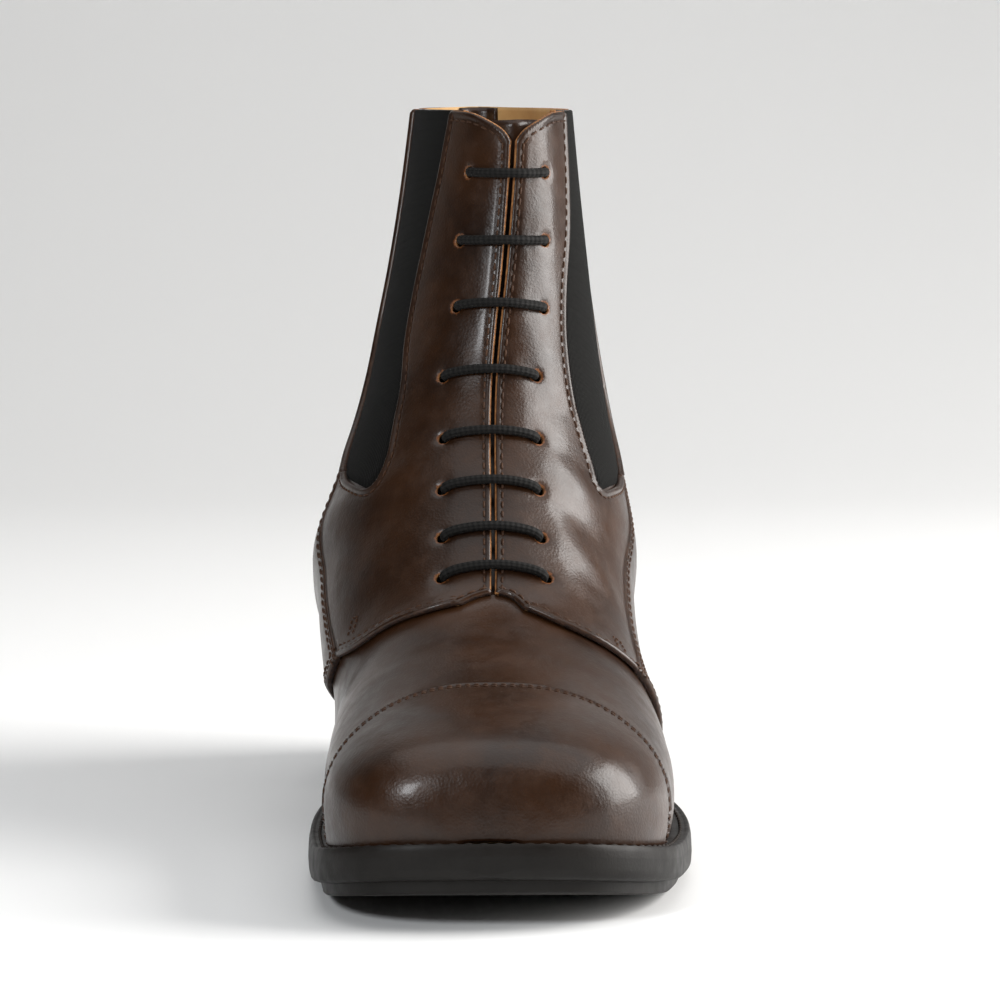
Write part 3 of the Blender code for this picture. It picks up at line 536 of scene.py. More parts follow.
def panel(name, chains, base, wall, mats, replaced, holes=(), under=True):
    """A leather panel between base and base + wall over the skin.

    chains are (points, style): style gives the distances of the rows of stitches from that edge, the
    place, width and height of the bead beside it, and how far the edge is rounded down.
    """
    lines = [(trace(points), style) for points, style in chains]
    outline = np.concatenate([line[:-1] for line, _ in lines])
    turning = np.sum(outline[:, 0] * np.roll(outline[:, 1], -1) - np.roll(outline[:, 0], -1) * outline[:, 1])
    sign = -1.0 if turning > 0 else 1.0
    loops = [outline] + [ring_at(u, v, EYELET_RADIUS) for u, v in holes]
    styles = [style for _, style in lines]
    samples, owners, bare = [np.full((1, 3), 9.0)], [0], [np.full((1, 3), 9.0)]
    for index, (line, style) in enumerate(lines):
        at = np.linspace(0, len(line) - 1, (len(line) - 1) * 6 + 1)
        spots = surface(*sample(line, np.arange(len(line)), at).T)
        if style.get("bare"):
            bare.append(spots)
        else:
            samples.append(spots)
            owners += [index] * len(spots)
    hole_middles = [surface(*ring_at(u, v, EYELET_RADIUS, 60).T).mean(0) for u, v in holes]
    tree, bare_tree = search_tree(samples), search_tree(bare)
    rows = np.arange(outline[:, 0].min(), outline[:, 0].max(), ROW_STEP)
    columns = np.arange(outline[:, 1].min(), outline[:, 1].max(), COLUMN_STEP)
    lattice = np.stack(np.meshgrid(rows, columns, indexing="ij"), -1).reshape(-1, 2)
    lattice = lattice[inside(lattice, outline)]
    candidates = [(lattice, LATTICE_GAP, 99.0)]
    for by in RIM_STEPS:
        line = moved(outline, sign * by, closed=True)
        candidates.append((line[inside(line, outline)], by * 0.93, by * 1.35))
    kept = []
    for line, nearest, farthest in candidates:
        points = surface(line[:, 0], line[:, 1])
        far = np.array([tree.find(point)[2] for point in points])
        good = (far > nearest) & (far < farthest)
        good &= np.array([bare_tree.find(point)[2] for point in points]) > 0.0005
        for spot in hole_middles:
            good &= np.linalg.norm(points - spot, axis=1) > EYELET_RADIUS + 0.0006
        kept.append(line[good])
    for u, v in holes:
        kept += [ring_at(u, v, EYELET_RADIUS + by, 18) for by in (0.0002, 0.0005)]
    uv, faces = fill(loops, np.concatenate(kept))
    points, _, _, normal = slopes(uv[:, 0], uv[:, 1])
    good = np.ones(len(faces), bool)
    for spot in hole_middles:
        good &= np.linalg.norm(points[faces].mean(1) - spot, axis=1) > EYELET_RADIUS * 0.96
    faces = faces[good]
    found = [tree.find(point) for point in points]
    distance = np.array([hit[2] for hit in found])
    owner = np.array([owners[hit[1]] for hit in found])
    plain = np.array(["rows" not in style and "bead" not in style for style in styles])
    edge = np.where(plain[owner], NO_EDGE, np.minimum(distance, NO_EDGE))
    height, gape = np.full(len(points), wall), np.zeros(len(points))
    for index, style in enumerate(styles):
        mine = owner == index
        height[mine] = edge_height(style, wall, distance[mine])
        if style.get("gape"):
            depth, length = style["gape"]
            gape[mine] = depth * np.exp(-((distance[mine] / length) ** 2))
    burr = np.full(len(points), 1.0)
    for spot in hole_middles:
        off = np.linalg.norm(points - spot, axis=1) - EYELET_RADIUS
        height -= 0.0003 * np.exp(-((off / 0.0006) ** 2))
        burr = np.minimum(burr, np.maximum(off, 0.0) * 1000)
    out = base + relief(uv[:, 0], uv[:, 1]) + gape
    top = above_welt(points + normal * (out + height)[:, None])
    low = above_welt(points + normal * out[:, None])
    count = len(points)
    ends = np.concatenate([faces[:, [0, 1]], faces[:, [1, 2]], faces[:, [2, 0]]]).tolist()
    directed = {(a, b) for a, b in ends}
    rim = [(a, b) for a, b in ends if (b, a) not in directed]
    all_faces = faces.tolist() + [(b, a, count + a, count + b) for a, b in rim]
    raw_band = np.array([style.get("raw_band", 0.0) for style in styles])[owner]
    face_mats = np.where((distance[faces] < raw_band[faces] + 1e-6).all(1), 1, 0).tolist()
    face_mats += [styles[owner[a]].get("edge_mat", 1) if burr[a] > 0.5 else 1 for a, _ in rim]
    if under:
        all_faces += (faces[:, ::-1] + count).tolist()
        face_mats += [2] * len(faces)
    attrs = {
        "edge": np.tile(edge, 2) * 1000,
        "burr": np.tile(burr, 2),
        "row": np.tile(uv[:, 0], 2),
        "column": np.tile(uv[:, 1], 2) * 1000 * ARC_PER_V,
    }
    make(name, np.concatenate([top, low]), all_faces, mats, face_mats, replaced, attrs)
    for line, style in lines:
        for stitch in style.get("rows", ()):
            out = base + wall - style.get("groove", GROOVE) + 0.00012
            stitch_row(moved(line, sign * stitch), out, style)
        if style.get("tack"):
            corner_tack(line, sign, style["tack"], base + wall - 0.00005)


def thread_mesh(name, rows, mat):
    """Rows of (points, normals, length, space, radius) as short raised threads, in one piece."""
    clouds, all_faces, first = [], [], 0
    for row in rows:
        cloud, faces = threads(*row)
        clouds.append(cloud)
        all_faces.append(faces + first)
        first += len(cloud)
    make(name, np.concatenate(clouds), np.concatenate(all_faces).tolist(), [mat])


def threads(points, normals, length, space, radius):
    """The points and faces of one row of short threads along a line."""
    run = lengths_along(points)
    count = max(1, int(run[-1] / (length + space)))
    pitch = run[-1] / count
    along = np.array([-0.5, -0.36, 0.0, 0.36, 0.5]) * (pitch - space)
    sizes = np.array([0.45, 0.9, 1.0, 0.9, 0.45]) * radius
    outs = np.array([-0.75, 0.1, 0.45, 0.1, -0.75]) * radius
    centres = (np.arange(count) + 0.5) * pitch
    at = (centres[:, None] + along[None]).reshape(-1)
    spot, up = sample(points, run, at), unit(sample(normals, run, at))
    side = np.cross(unit(sample(points, run, at + 0.0003) - sample(points, run, at - 0.0003)), up)
    sizes = np.tile(sizes, count)[:, None]
    spot = spot + up * np.tile(outs, count)[:, None]
    turns = np.linspace(0, 2 * math.pi, 6, endpoint=False)
    cloud = np.stack([spot + (np.cos(t) * side + np.sin(t) * up) * sizes for t in turns], 1).reshape(-1, 3)
    faces = []
    for ring in range(4):
        for k in range(6):
            n = (k + 1) % 6
            a, b = ring * 6 + k, ring * 6 + n
            faces.append((a, b, b + 6))
            faces.append((a, b + 6, a + 6))
    faces += [(0, 2, 1), (0, 3, 2), (0, 4, 3), (0, 5, 4)]
    faces += [(24, 25, 26), (24, 26, 27), (24, 27, 28), (24, 28, 29)]
    faces = np.array(faces)
    return cloud, (faces[None] + (np.arange(count) * 30)[:, None, None]).reshape(-1, 3)


def between_rings(rings, sides):
    """Four-sided faces between rings of points, and one face over each end."""
    index = np.arange(rings * sides).reshape(-1, sides)
    beside = np.roll(index, -1, axis=1)
    faces = np.stack([index[1:], beside[1:], beside[:-1], index[:-1]], -1).reshape(-1, 4).tolist()
    return faces + [index[0].tolist(), index[-1, ::-1].tolist()]


def tube(name, points, radius, mat, replaced, sides=12):
    """A round cord along points, with lengths and turns kept for its weave."""
    way = unit(np.gradient(points, axis=0))
    up = np.zeros_like(points)
    before = np.array([0.0, 0.0, 1.0])
    for i in range(len(points)):
        up[i] = before = unit(before - way[i] * before.dot(way[i]))
    side = np.cross(way, up)
    turns = np.linspace(0, 2 * math.pi, sides, endpoint=False)
    cloud = np.stack([points + (np.cos(t) * up + np.sin(t) * side) * radius for t in turns], 1).reshape(-1, 3)
    faces = between_rings(len(points), sides)
    attrs = {"run": np.repeat(lengths_along(points), sides) * 1000, "around": np.tile(turns, len(points))}
    make(name, cloud, faces, [mat], replaced=replaced, attrs=attrs)


def sheet(name, layers, mats, face_mats, replaced=()):
    """A closed sheet through layers of points, outer face first.

    face_mats are the material numbers of its face, its underside and its rim.
    """
    rows, columns = layers[0].shape[:2]
    index = np.arange(len(layers) * rows * columns).reshape(len(layers), rows, columns)
    quads = [[grid[:-1, :-1], grid[:-1, 1:], grid[1:, 1:], grid[1:, :-1]] for grid in (index[0], index[-1])]
    outer = np.stack(quads[0], -1).reshape(-1, 4).tolist()
    under = np.stack(quads[1][::-1], -1).reshape(-1, 4).tolist()
    loops = [np.concatenate([g[0], g[1:, -1], g[-1, -2::-1], g[-2:0:-1, 0]]) for g in index]
    rim = []
    for one, two in zip(loops, loops[1:]):
        rim += np.stack([np.roll(one, -1), one, two, np.roll(two, -1)], -1).tolist()
    cloud = np.array(layers).reshape(-1, 3)
    attrs = {key: np.full(len(cloud), NO_EDGE * 1000) for key in ("edge", "burr")}
    mat_of = np.repeat(face_mats, [len(outer), len(under), len(rim)])
    make(name, cloud, outer + under + rim, mats, mat_of, replaced, attrs)


# Materials
class Nodes:
    """Short calls for a material's nodes."""

    def __init__(self, name):
        self.mat = bpy.data.materials.new(name)
        self.mat.use_nodes = True
        self.tree = self.mat.node_tree
        self.shader = self.tree.nodes["Principled BSDF"]

    def add(self, kind, links=None, **values):
        node = self.tree.nodes.new(kind)
        for key, value in values.items():
            setattr(node, key, value)
        for key, value in (links or {}).items():
            self.put(node.inputs[key], value)
        return node

    def put(self, socket, value):
        if isinstance(value, bpy.types.NodeSocket):
            self.tree.links.new(value, socket)
        else:
            socket.default_value = (*value, 1.0) if isinstance(value, tuple) else value

    def set(self, **values):
        for key, value in values.items():
            self.put(self.shader.inputs[key.replace("_", " ")], value)

    def place(self):
        return self.add("ShaderNodeTexCoord").outputs["Object"]

    def noise(self, scale, detail=3.0, rough=0.5):
        inputs = {"Vector": self.place(), "Scale": scale, "Detail": detail, "Roughness": rough}
        return self.add("ShaderNodeTexNoise", inputs).outputs["Fac"]

    def cells(self, scale):
        return self.add("ShaderNodeTexVoronoi", {"Vector": self.place(), "Scale": scale}).outputs["Distance"]

    def attribute(self, name):
        return self.add("ShaderNodeAttribute", attribute_name=name).outputs["Fac"]

    def math(self, kind, a, b=0.0):
        return self.add("ShaderNodeMath", {0: a, 1: b}, operation=kind).outputs[0]

    def span(self, value, low, high, to_low=0.0, to_high=1.0):
        keys = {"Value": value, "From Min": low, "From Max": high, "To Min": to_low, "To Max": to_high}
        return self.add("ShaderNodeMapRange", keys).outputs["Result"]

    def mix(self, share, first, second):
        keys = {"Factor": share, "A": first, "B": second}
        return self.add("ShaderNodeMix", keys, data_type="RGBA").outputs["Result"]

    def bump(self, height, strength, distance, normal=None):
        links = {"Height": height, "Strength": strength, "Distance": distance}
        if normal is not None:
            links["Normal"] = normal
        return self.add("ShaderNodeBump", links).outputs["Normal"]


def leather(name, base, dark, light, rough=0.35, coat=0.16, grain=0.42):
    """Half gloss leather. edge and burr, in mm, say how near its edge and its holes a point is."""
    m = Nodes(name)
    cloud = m.noise(34.0, 4.0, 0.6)
    fine = m.noise(210.0, 3.0, 0.6)
    shade = m.mix(m.span(cloud, 0.35, 0.68), dark, base)
    shade = m.mix(m.span(fine, 0.5, 0.8, 0.0, 0.25), shade, light)
    edge = m.attribute("edge")
    worn = m.math("MULTIPLY", m.span(edge, 0.0, 0.6, 0.6, 0.0), m.span(m.noise(420.0), 0.35, 0.62))
    shade = m.mix(worn, shade, (0.12, 0.046, 0.016))
    # Painted shade: a band 0.5 to 2.4 mm from the stitched edges is darkened towards half the dark tone, over
    # the seam grooves
    shade = m.mix(m.span(edge, 0.5, 2.4, 0.4, 0.0), shade, tuple(c * 0.5 for c in dark))
    torn = m.math("ADD", m.attribute("burr"), m.span(m.noise(1300.0), 0.3, 0.7, -0.25, 0.25))
    shade = m.mix(m.span(torn, 0.1, 0.5, 0.85, 0.0), shade, (0.20, 0.066, 0.017))
    m.set(Base_Color=shade, Roughness=m.span(fine, 0.3, 0.75, rough - 0.05, rough + 0.10))
    hide = m.math("ADD", m.math("MULTIPLY", m.cells(1500.0), 0.7), m.noise(900.0, 4.0, 0.65))
    m.set(Normal=m.bump(hide, grain, 0.00012, m.bump(m.noise(120.0, 2.0), 0.16, 0.0012)))
    m.set(Coat_Weight=coat, Coat_Roughness=0.14, Specular_IOR_Level=0.34)
    return m.mat


def raw_edge(name, first, second):
    """The cut side of the leather."""
    m = Nodes(name)
    tone = m.span(m.noise(900.0, 3.0), 0.3, 0.7)
    m.set(Base_Color=m.mix(tone, first, second), Roughness=0.8)
    m.set(Normal=m.bump(m.noise(2600.0, 2.0), 0.5, 0.0002))
    return m.mat


def lining_leather(name, base, dark):
    m = Nodes(name)
    tone = m.span(m.noise(60.0, 5.0, 0.6), 0.3, 0.7)
    shade = m.mix(tone, dark, base)
    m.set(Base_Color=shade, Roughness=m.span(m.noise(300.0), 0.3, 0.7, 0.55, 0.75))
    m.set(Normal=m.bump(m.noise(1600.0, 3.0), 0.3, 0.0002))
    return m.mat


def elastic_web(name):
    m = Nodes(name)
    ribs = m.math("ABSOLUTE", m.math("SINE", m.math("MULTIPLY", m.attribute("column"), math.pi / 0.62)))
    picks = m.math("ABSOLUTE", m.math("SINE", m.math("MULTIPLY", m.attribute("row"), 24.0)))
    weave = m.math("MULTIPLY", ribs, m.math("ADD", m.math("MULTIPLY", picks, 0.35), 0.65))
    # Darker in the hollows between the ribs and picks, lighter on their tops: painted shade, following the
    # same weave as the bump
    shade = m.mix(weave, (0.0018, 0.0018, 0.0016), (0.0075, 0.0072, 0.0066))
    m.set(Base_Color=shade, Roughness=0.9, Specular_IOR_Level=0.12)
    m.set(Normal=m.bump(weave, 0.7, 0.0003))
    return m.mat


def cord_weave(name):
    m = Nodes(name)
    run = m.math("MULTIPLY", m.attribute("run"), 2.4)
    around = m.math("MULTIPLY", m.attribute("around"), 4.0)
    one = m.math("SINE", m.math("ADD", run, around))
    two = m.math("SINE", m.math("SUBTRACT", run, around))
    weave = m.math("MULTIPLY", m.math("ADD", m.math("MULTIPLY", one, two), 1.0), 0.5)
    # Darker in the hollows between the strands, lighter on their crowns: painted shade, following the same
    # weave as the bump
    shade = m.mix(weave, (0.003, 0.0028, 0.0026), (0.013, 0.012, 0.011))
    m.set(Base_Color=shade, Roughness=0.75, Specular_IOR_Level=0.2)
    m.set(Normal=m.bump(weave, 0.6, 0.0003))
    return m.mat


def sole_rubber(name, base, dark, rough):
    m = Nodes(name)
    tone = m.span(m.noise(70.0, 5.0, 0.6), 0.3, 0.7)
    m.set(Base_Color=m.mix(tone, dark, base), Specular_IOR_Level=0.22)
    m.set(Roughness=m.span(m.noise(260.0), 0.3, 0.7, rough - 0.06, rough + 0.08))
    m.set(Normal=m.bump(m.noise(1500.0, 3.0), 0.22, 0.0002))
    return m.mat


def tread_rubber(name):
    m = Nodes(name)
    split = m.add("ShaderNodeSeparateXYZ", {"Vector": m.place()})
    wave = m.math("SINE", m.math("MULTIPLY", split.outputs["Y"], 2 * math.pi / 0.0045))
    ribs = m.span(wave, -0.2, 0.2)
    # The grooves between the ribs are painted darker than the ribs: painted shade
    m.set(Base_Color=m.mix(ribs, (0.010, 0.009, 0.008), (0.022, 0.019, 0.017)), Roughness=0.7)
    m.set(Normal=m.bump(ribs, 0.8, 0.0008))
    return m.mat


BROWN = (0.038, 0.0140, 0.0043)
DARK = (0.0155, 0.0058, 0.0021)
LIGHT = (0.068, 0.028, 0.0102)
LEATHER = leather("brown_leather", BROWN, DARK, LIGHT)
RAW = raw_edge("raw_edge", (0.16, 0.055, 0.014), (0.42, 0.19, 0.060))
# The cut sides at the stitched edges are painted near black: painted shade in the gaps and corners where the
# panels overlap
DARK_EDGE = raw_edge("shaded_cut_edge", (0.012, 0.005, 0.003), (0.060, 0.024, 0.010))
LINING = lining_leather("lining_leather", (0.58, 0.36, 0.15), (0.44, 0.25, 0.095))
ELASTIC = elastic_web("elastic_web")
CORD = cord_weave("braided_cord")
RUBBER = sole_rubber("sole_rubber", (0.0100, 0.0084, 0.0070), (0.0062, 0.0052, 0.0043), 0.50)
WELT = sole_rubber("welt_leather", (0.0108, 0.0086, 0.0071), (0.0066, 0.0052, 0.0043), 0.48)
TREAD = tread_rubber("tread_rubber")
THREAD = sole_rubber("thread", (0.066, 0.029, 0.013), (0.036, 0.015, 0.007), 0.55)
WELT_THREAD = sole_rubber("welt_thread", (0.022, 0.015, 0.011), (0.012, 0.0085, 0.0065), 0.6)
TAPE = elastic_web("loop_tape")


# Panels of the upper
def mirrored(points, side):
    return [(u, side * v) for u, v in points]


def facing_line(side, arc, first, last, step=0.5):
    rows = [first] + [r for r in np.arange(first + step, last - step * 0.5, step)] + [last]
    return [(float(u), reach(float(u), side * arc)) for u in rows]


PLAIN = {"round": 0.0004, "drop": 0.0003}
HIDDEN = {"bare": True}
STITCHED = {"rows": (0.0016,), "bead": (0.0008, 0.0005, 0.00012), "drop": 0.0005, "round": 0.0006}
# A stitched edge whose cut side takes the near-black material of painted shade
STITCHED_SHADED_CUT = {**STITCHED, "edge_mat": 3}
DOUBLE = {**STITCHED_SHADED_CUT, "rows": (0.0013, 0.0030), "bead": (0.0006, 0.0004, 0.00010), "round": 0.0005}
PIPED = {**STITCHED_SHADED_CUT, "rows": (0.0021,), "bead": (0.0008, 0.00065, 0.00045), "drop": 0.0007, "groove": 0.0003}
CAP_SEAM = {
    "rows": (0.0012, 0.0026),
    "bead": (0.0006, 0.00045, 0.00030),
    "drop": 0.0007,
    "round": 0.0005,
    "groove": 0.00026,
    "length": 0.0015,
    "space": 0.0006,
    "thread": 0.00026,
}
HIDE = [LEATHER, RAW, LINING, DARK_EDGE]


def quarter(side, name):
    """A laced facing: derby edge, seam to the sides, gore, notch at the collar and facing edge."""
    derby = mirrored(DERBY_EDGE[side], side)
    seam = mirrored(DERBY_EDGE[side][-1:] + SEAM_TOP[side], side)
    gore = mirrored(SEAM_TOP[side][-1:] + GORE_FRONT[side], side)
    notch = [(u, reach(u, side * arc)) for u, arc in zip(NOTCH_ROWS[::-1], NOTCH_REACHES[::-1])]
    face = facing_line(side, FACING_GAP / 2, THROAT_ROW, NOTCH_ROW)[::-1]
    chains = [
        (derby, {**STITCHED_SHADED_CUT, "rows": (0.0015, 0.0029), "gape": (0.0004, 0.003), "drop": 0.0004, "tack": 0.8}),
        (seam, HIDDEN),
        (gore, PIPED),
        ([gore[-1], *notch, face[0]], {**STITCHED, "rows": (0.0020,), "raw_band": 0.00014}),
        (face, {**STITCHED, "rows": (0.0017,), "raw_band": 0.00034, "drop": 0.0007, "round": 0.0006}),
        ([face[-1], (8.5, side * THROAT_V), derby[0]], STITCHED_SHADED_CUT),
    ]
    reaches = [bar[1 if side < 0 else 2] / 1000 + EYELET_SHIFT for bar in BARS]
    holes = [(bar[0], reach(bar[0], side * arc)) for bar, arc in zip(BARS, reaches)]
    node = f"quarter_{name}"
    panel(f"{node}_leather", chains, LAY * 0.4, PANEL_WALL, HIDE, [node], holes)


def gore_panel(side, name):
    """The elastic web, sunk under the panels round it."""
    front = mirrored(GORE_FRONT[side], side)
    back = mirrored((SEAM_TOP[side][-1:] + GORE_REAR[side])[::-1], side)
    sunk = {"sunk": 0.002}
    chains = [(front, sunk), ([front[-1], back[0]], PLAIN), (back, sunk), ([back[-1], front[0]], sunk)]
    mats = [ELASTIC, ELASTIC, LINING]
    panel(f"gore_{name}_web", chains, LAY * 0.3, GORE_WALL, mats, [f"gore_{name}"])


def side_panel(side, name):
    """One side of the back quarter, from its front edge to the back seam."""
    front = SIDE_FRONT[side] + DERBY_EDGE[side][-1:]
    seam = DERBY_EDGE[side][-1:] + SEAM_TOP[side]
    rear = SEAM_TOP[side][-1:] + GORE_REAR[side]
    rim = [rear[-1], (RIM_ROW, 0.82), (RIM_ROW, 1.0)]
    back = [(RIM_ROW, 1.0), (HEEL_ROW, 1.0)]
    low = [(HEEL_ROW, 1.0), (13.0, 1.0), SIDE_FRONT[side][0]]
    styles = [DOUBLE, DOUBLE, PIPED, STITCHED, HIDDEN, HIDDEN]
    lines = (front, seam, rear, rim, back, low)
    chains = [(mirrored(line, side), style) for line, style in zip(lines, styles)]
    panel(f"back_quarter_{name}", chains, LAY * 0.4, BACK_WALL, HIDE, ["back_quarter"])


def upper_pieces():
    """Toe cap, vamp with the hidden upper, lining, and the panels of both sides."""
    cap_back = mirrored(CAP_EDGE, -1) + CAP_EDGE[-2::-1]
    cap_right = [(EDGE_ROW, 1.0), (2.0, 1.0), (TOE_ROW, 1.0)]
    cap_left = mirrored(cap_right[::-1], -1)
    cap_front = [(TOE_ROW, 1.0), (TOE_ROW, 0.0), (TOE_ROW, -1.0)]
    chains = [(cap_left, HIDDEN), (cap_back, CAP_SEAM), (cap_right, HIDDEN), (cap_front, HIDDEN)]
    mats = [LEATHER, DARK_EDGE, LINING]
    panel("toe_cap_leather", chains, LAY * 0.2, PANEL_WALL, mats, ["toe_cap"])
    top = float(LAST_ROW)
    left = facing_line(-1, SLIT_REACH, SLIT_ROW, top)[::-1]
    right = facing_line(1, SLIT_REACH, SLIT_ROW, top)
    rim = [right[-1], (top, 0.6), (top, 1.0)]
    back = [(top, 1.0), (HEEL_ROW, 1.0)]
    low = [(HEEL_ROW, 1.0), (8.0, 1.0), (TOE_ROW, 1.0)]
    ends = [mirrored(low[::-1], -1), mirrored(back[::-1], -1), [(top, -1.0), (top, -0.6), left[0]], left]
    ends += [[left[-1], (SLIT_ROW - 0.15, 0.0), right[0]], right, rim, back, low, [low[-1], (TOE_ROW, -1.0)]]
    chains = [(end, HIDDEN) for end in ends]
    panel("vamp_leather", chains, -0.0008, 0.0008, [LEATHER, RAW, LINING], ["upper"], under=False)
    panel("upper_lining", chains, -UPPER_WALL, 0.0007, [LINING, RAW, LINING], ["upper"])
    for build in (quarter, gore_panel, side_panel):
        build(-1, "inner")
        build(1, "outer")


def tongue_piece():
    """The tongue under the facings, risen to the vamp at its root."""
    rows = np.linspace(SLIT_ROW - 0.7, NOTCH_ROW + 0.35, 120)
    shares = np.linspace(-1, 1, 33)
    deep = -(2 * CORD_RADIUS + 3 * CLEAR)
    root = -(UPPER_WALL + 1.5 * CLEAR)
    top, low = [], []
    for u in rows:
        near_top = max(0.0, (u - NOTCH_ROW + 0.6) / 0.95)
        half = TONGUE_REACH * (1 - 0.25 * near_top**3)
        v = np.array([reach(u, half * share) if share else 0.0 for share in shares])
        depth = root + (deep - root) * smooth((u - SLIT_ROW + 0.2) / 0.8)
        edge = 0.0006 * np.abs(shares) ** 12
        point, normal = place(np.full(len(v), u), v, depth, bumps=False)
        top.append(point - normal * edge[:, None])
        low.append(point - normal * (TONGUE_WALL - edge)[:, None])
    layers = [np.array(top), np.array(low)]
    sheet("tongue_leather", layers, [LEATHER, RAW, LINING], (0, 2, 1), ["tongue"])


# Lace
def lace_piece():
    """The eight bars, each through its eyelets, joined behind the facings in one run."""
    over = LAY * 0.4 + PANEL_WALL + CORD_RADIUS * 0.95
    under = -(CORD_RADIUS + CLEAR)
    knots = []

    def at(u, arc, out):
        knots.append(place(u, reach(u, arc), out)[0])

    for i, (row, inner, outer, sag) in enumerate(BARS):
        arcs = {-1: inner / 1000, 1: outer / 1000}
        side = -1 if i % 2 == 0 else 1
        per_mm = 0.0005 / float(np.linalg.norm(surface(row + 0.25, 0.0) - surface(row - 0.25, 0.0)))
        start, end = side * arcs[side], -side * arcs[-side]
        if i:
            at(row + 1.8 * per_mm, start, under)
            at(row + 0.6 * per_mm, start, under + 0.0005)
        at(row, start, (over + under) / 2)
        at(row, start - side * 0.0004, over - 0.0006)
        for share in np.linspace(0.1, 0.9, 9):
            bow = 1 - (2 * share - 1) ** 2
            at(row - sag * bow * per_mm, start + (end - start) * share, over + 0.0002 * bow - 0.0001)
        at(row, end + side * 0.0004, over - 0.0006)
        at(row, end, (over + under) / 2)
        if i == len(BARS) - 1:
            at(row, end, under)
            break
        at(row - 0.6 * per_mm, end, under + 0.0005)
        at(row - 1.8 * per_mm, end, under)
        below = BARS[i + 1]
        at((row + below[0]) / 2, (end - side * below[2 if side < 0 else 1] / 1000) / 2, under)
    knots = np.array(knots)
    path = through(knots, np.linspace(0, len(knots) - 1, (len(knots) - 1) * 5 + 1))
    tube("lace_cord", path, CORD_RADIUS, CORD, ["lace"])


# Sole
def slab(name, levels, mats, replaced, first=0.0, stations=220):
    """Plates through rings of (toe inset, heel inset, height over the underside or a function of s).

    The last material covers the underside, and the first all other faces.
    """
    rings = []
    for toe_inset, heel_inset, height in levels:
        edges = {side: inset_edge(side, toe_inset, heel_inset) for side in (-1, 1)}
        start, end = max(first * SOLE_LENGTH, edges[1][0, 0]), min(SOLE_LENGTH, edges[1][-1, 0])
        t = 0.5 - 0.5 * np.cos(np.pi * np.arange(stations + 1) / stations)
        s = start + (end - start) * t
        z = np.broadcast_to(height(s) if callable(height) else lift(s) + height, s.shape)
        ring = [(side * edge_width(edges[side], s) + middle(s), s - SOLE_LENGTH / 2, z) for side in (-1, 1)]
        rings.append(np.stack([np.stack(line, 1) for line in ring], 1) + SHIFT)
    index = np.arange(len(rings) * (stations + 1) * 2).reshape(len(rings), stations + 1, 2)
    faces = []
    for low, high in zip(index, index[1:]):
        faces += np.stack([high[:-1, 0], high[1:, 0], low[1:, 0], low[:-1, 0]], -1).tolist()
        faces += np.stack([low[:-1, 1], low[1:, 1], high[1:, 1], high[:-1, 1]], -1).tolist()
        faces.append([high[0, 0], high[0, 1], low[0, 1], low[0, 0]])
        faces.append([low[-1, 0], low[-1, 1], high[-1, 1], high[-1, 0]])
    for ring, step in ((index[0], 1), (index[-1], -1)):
        faces += np.stack([ring[:-1, 0], ring[:-1, 1], ring[1:, 1], ring[1:, 0]][::step], -1).tolist()
    face_mats = [0] * (len(faces) - stations) + [len(mats) - 1] * stations
    obj = make(name, np.array(rings).reshape(-1, 3), faces, mats, face_mats, replaced)
    obj.data.set_sharp_from_angle(angle=math.radians(38))


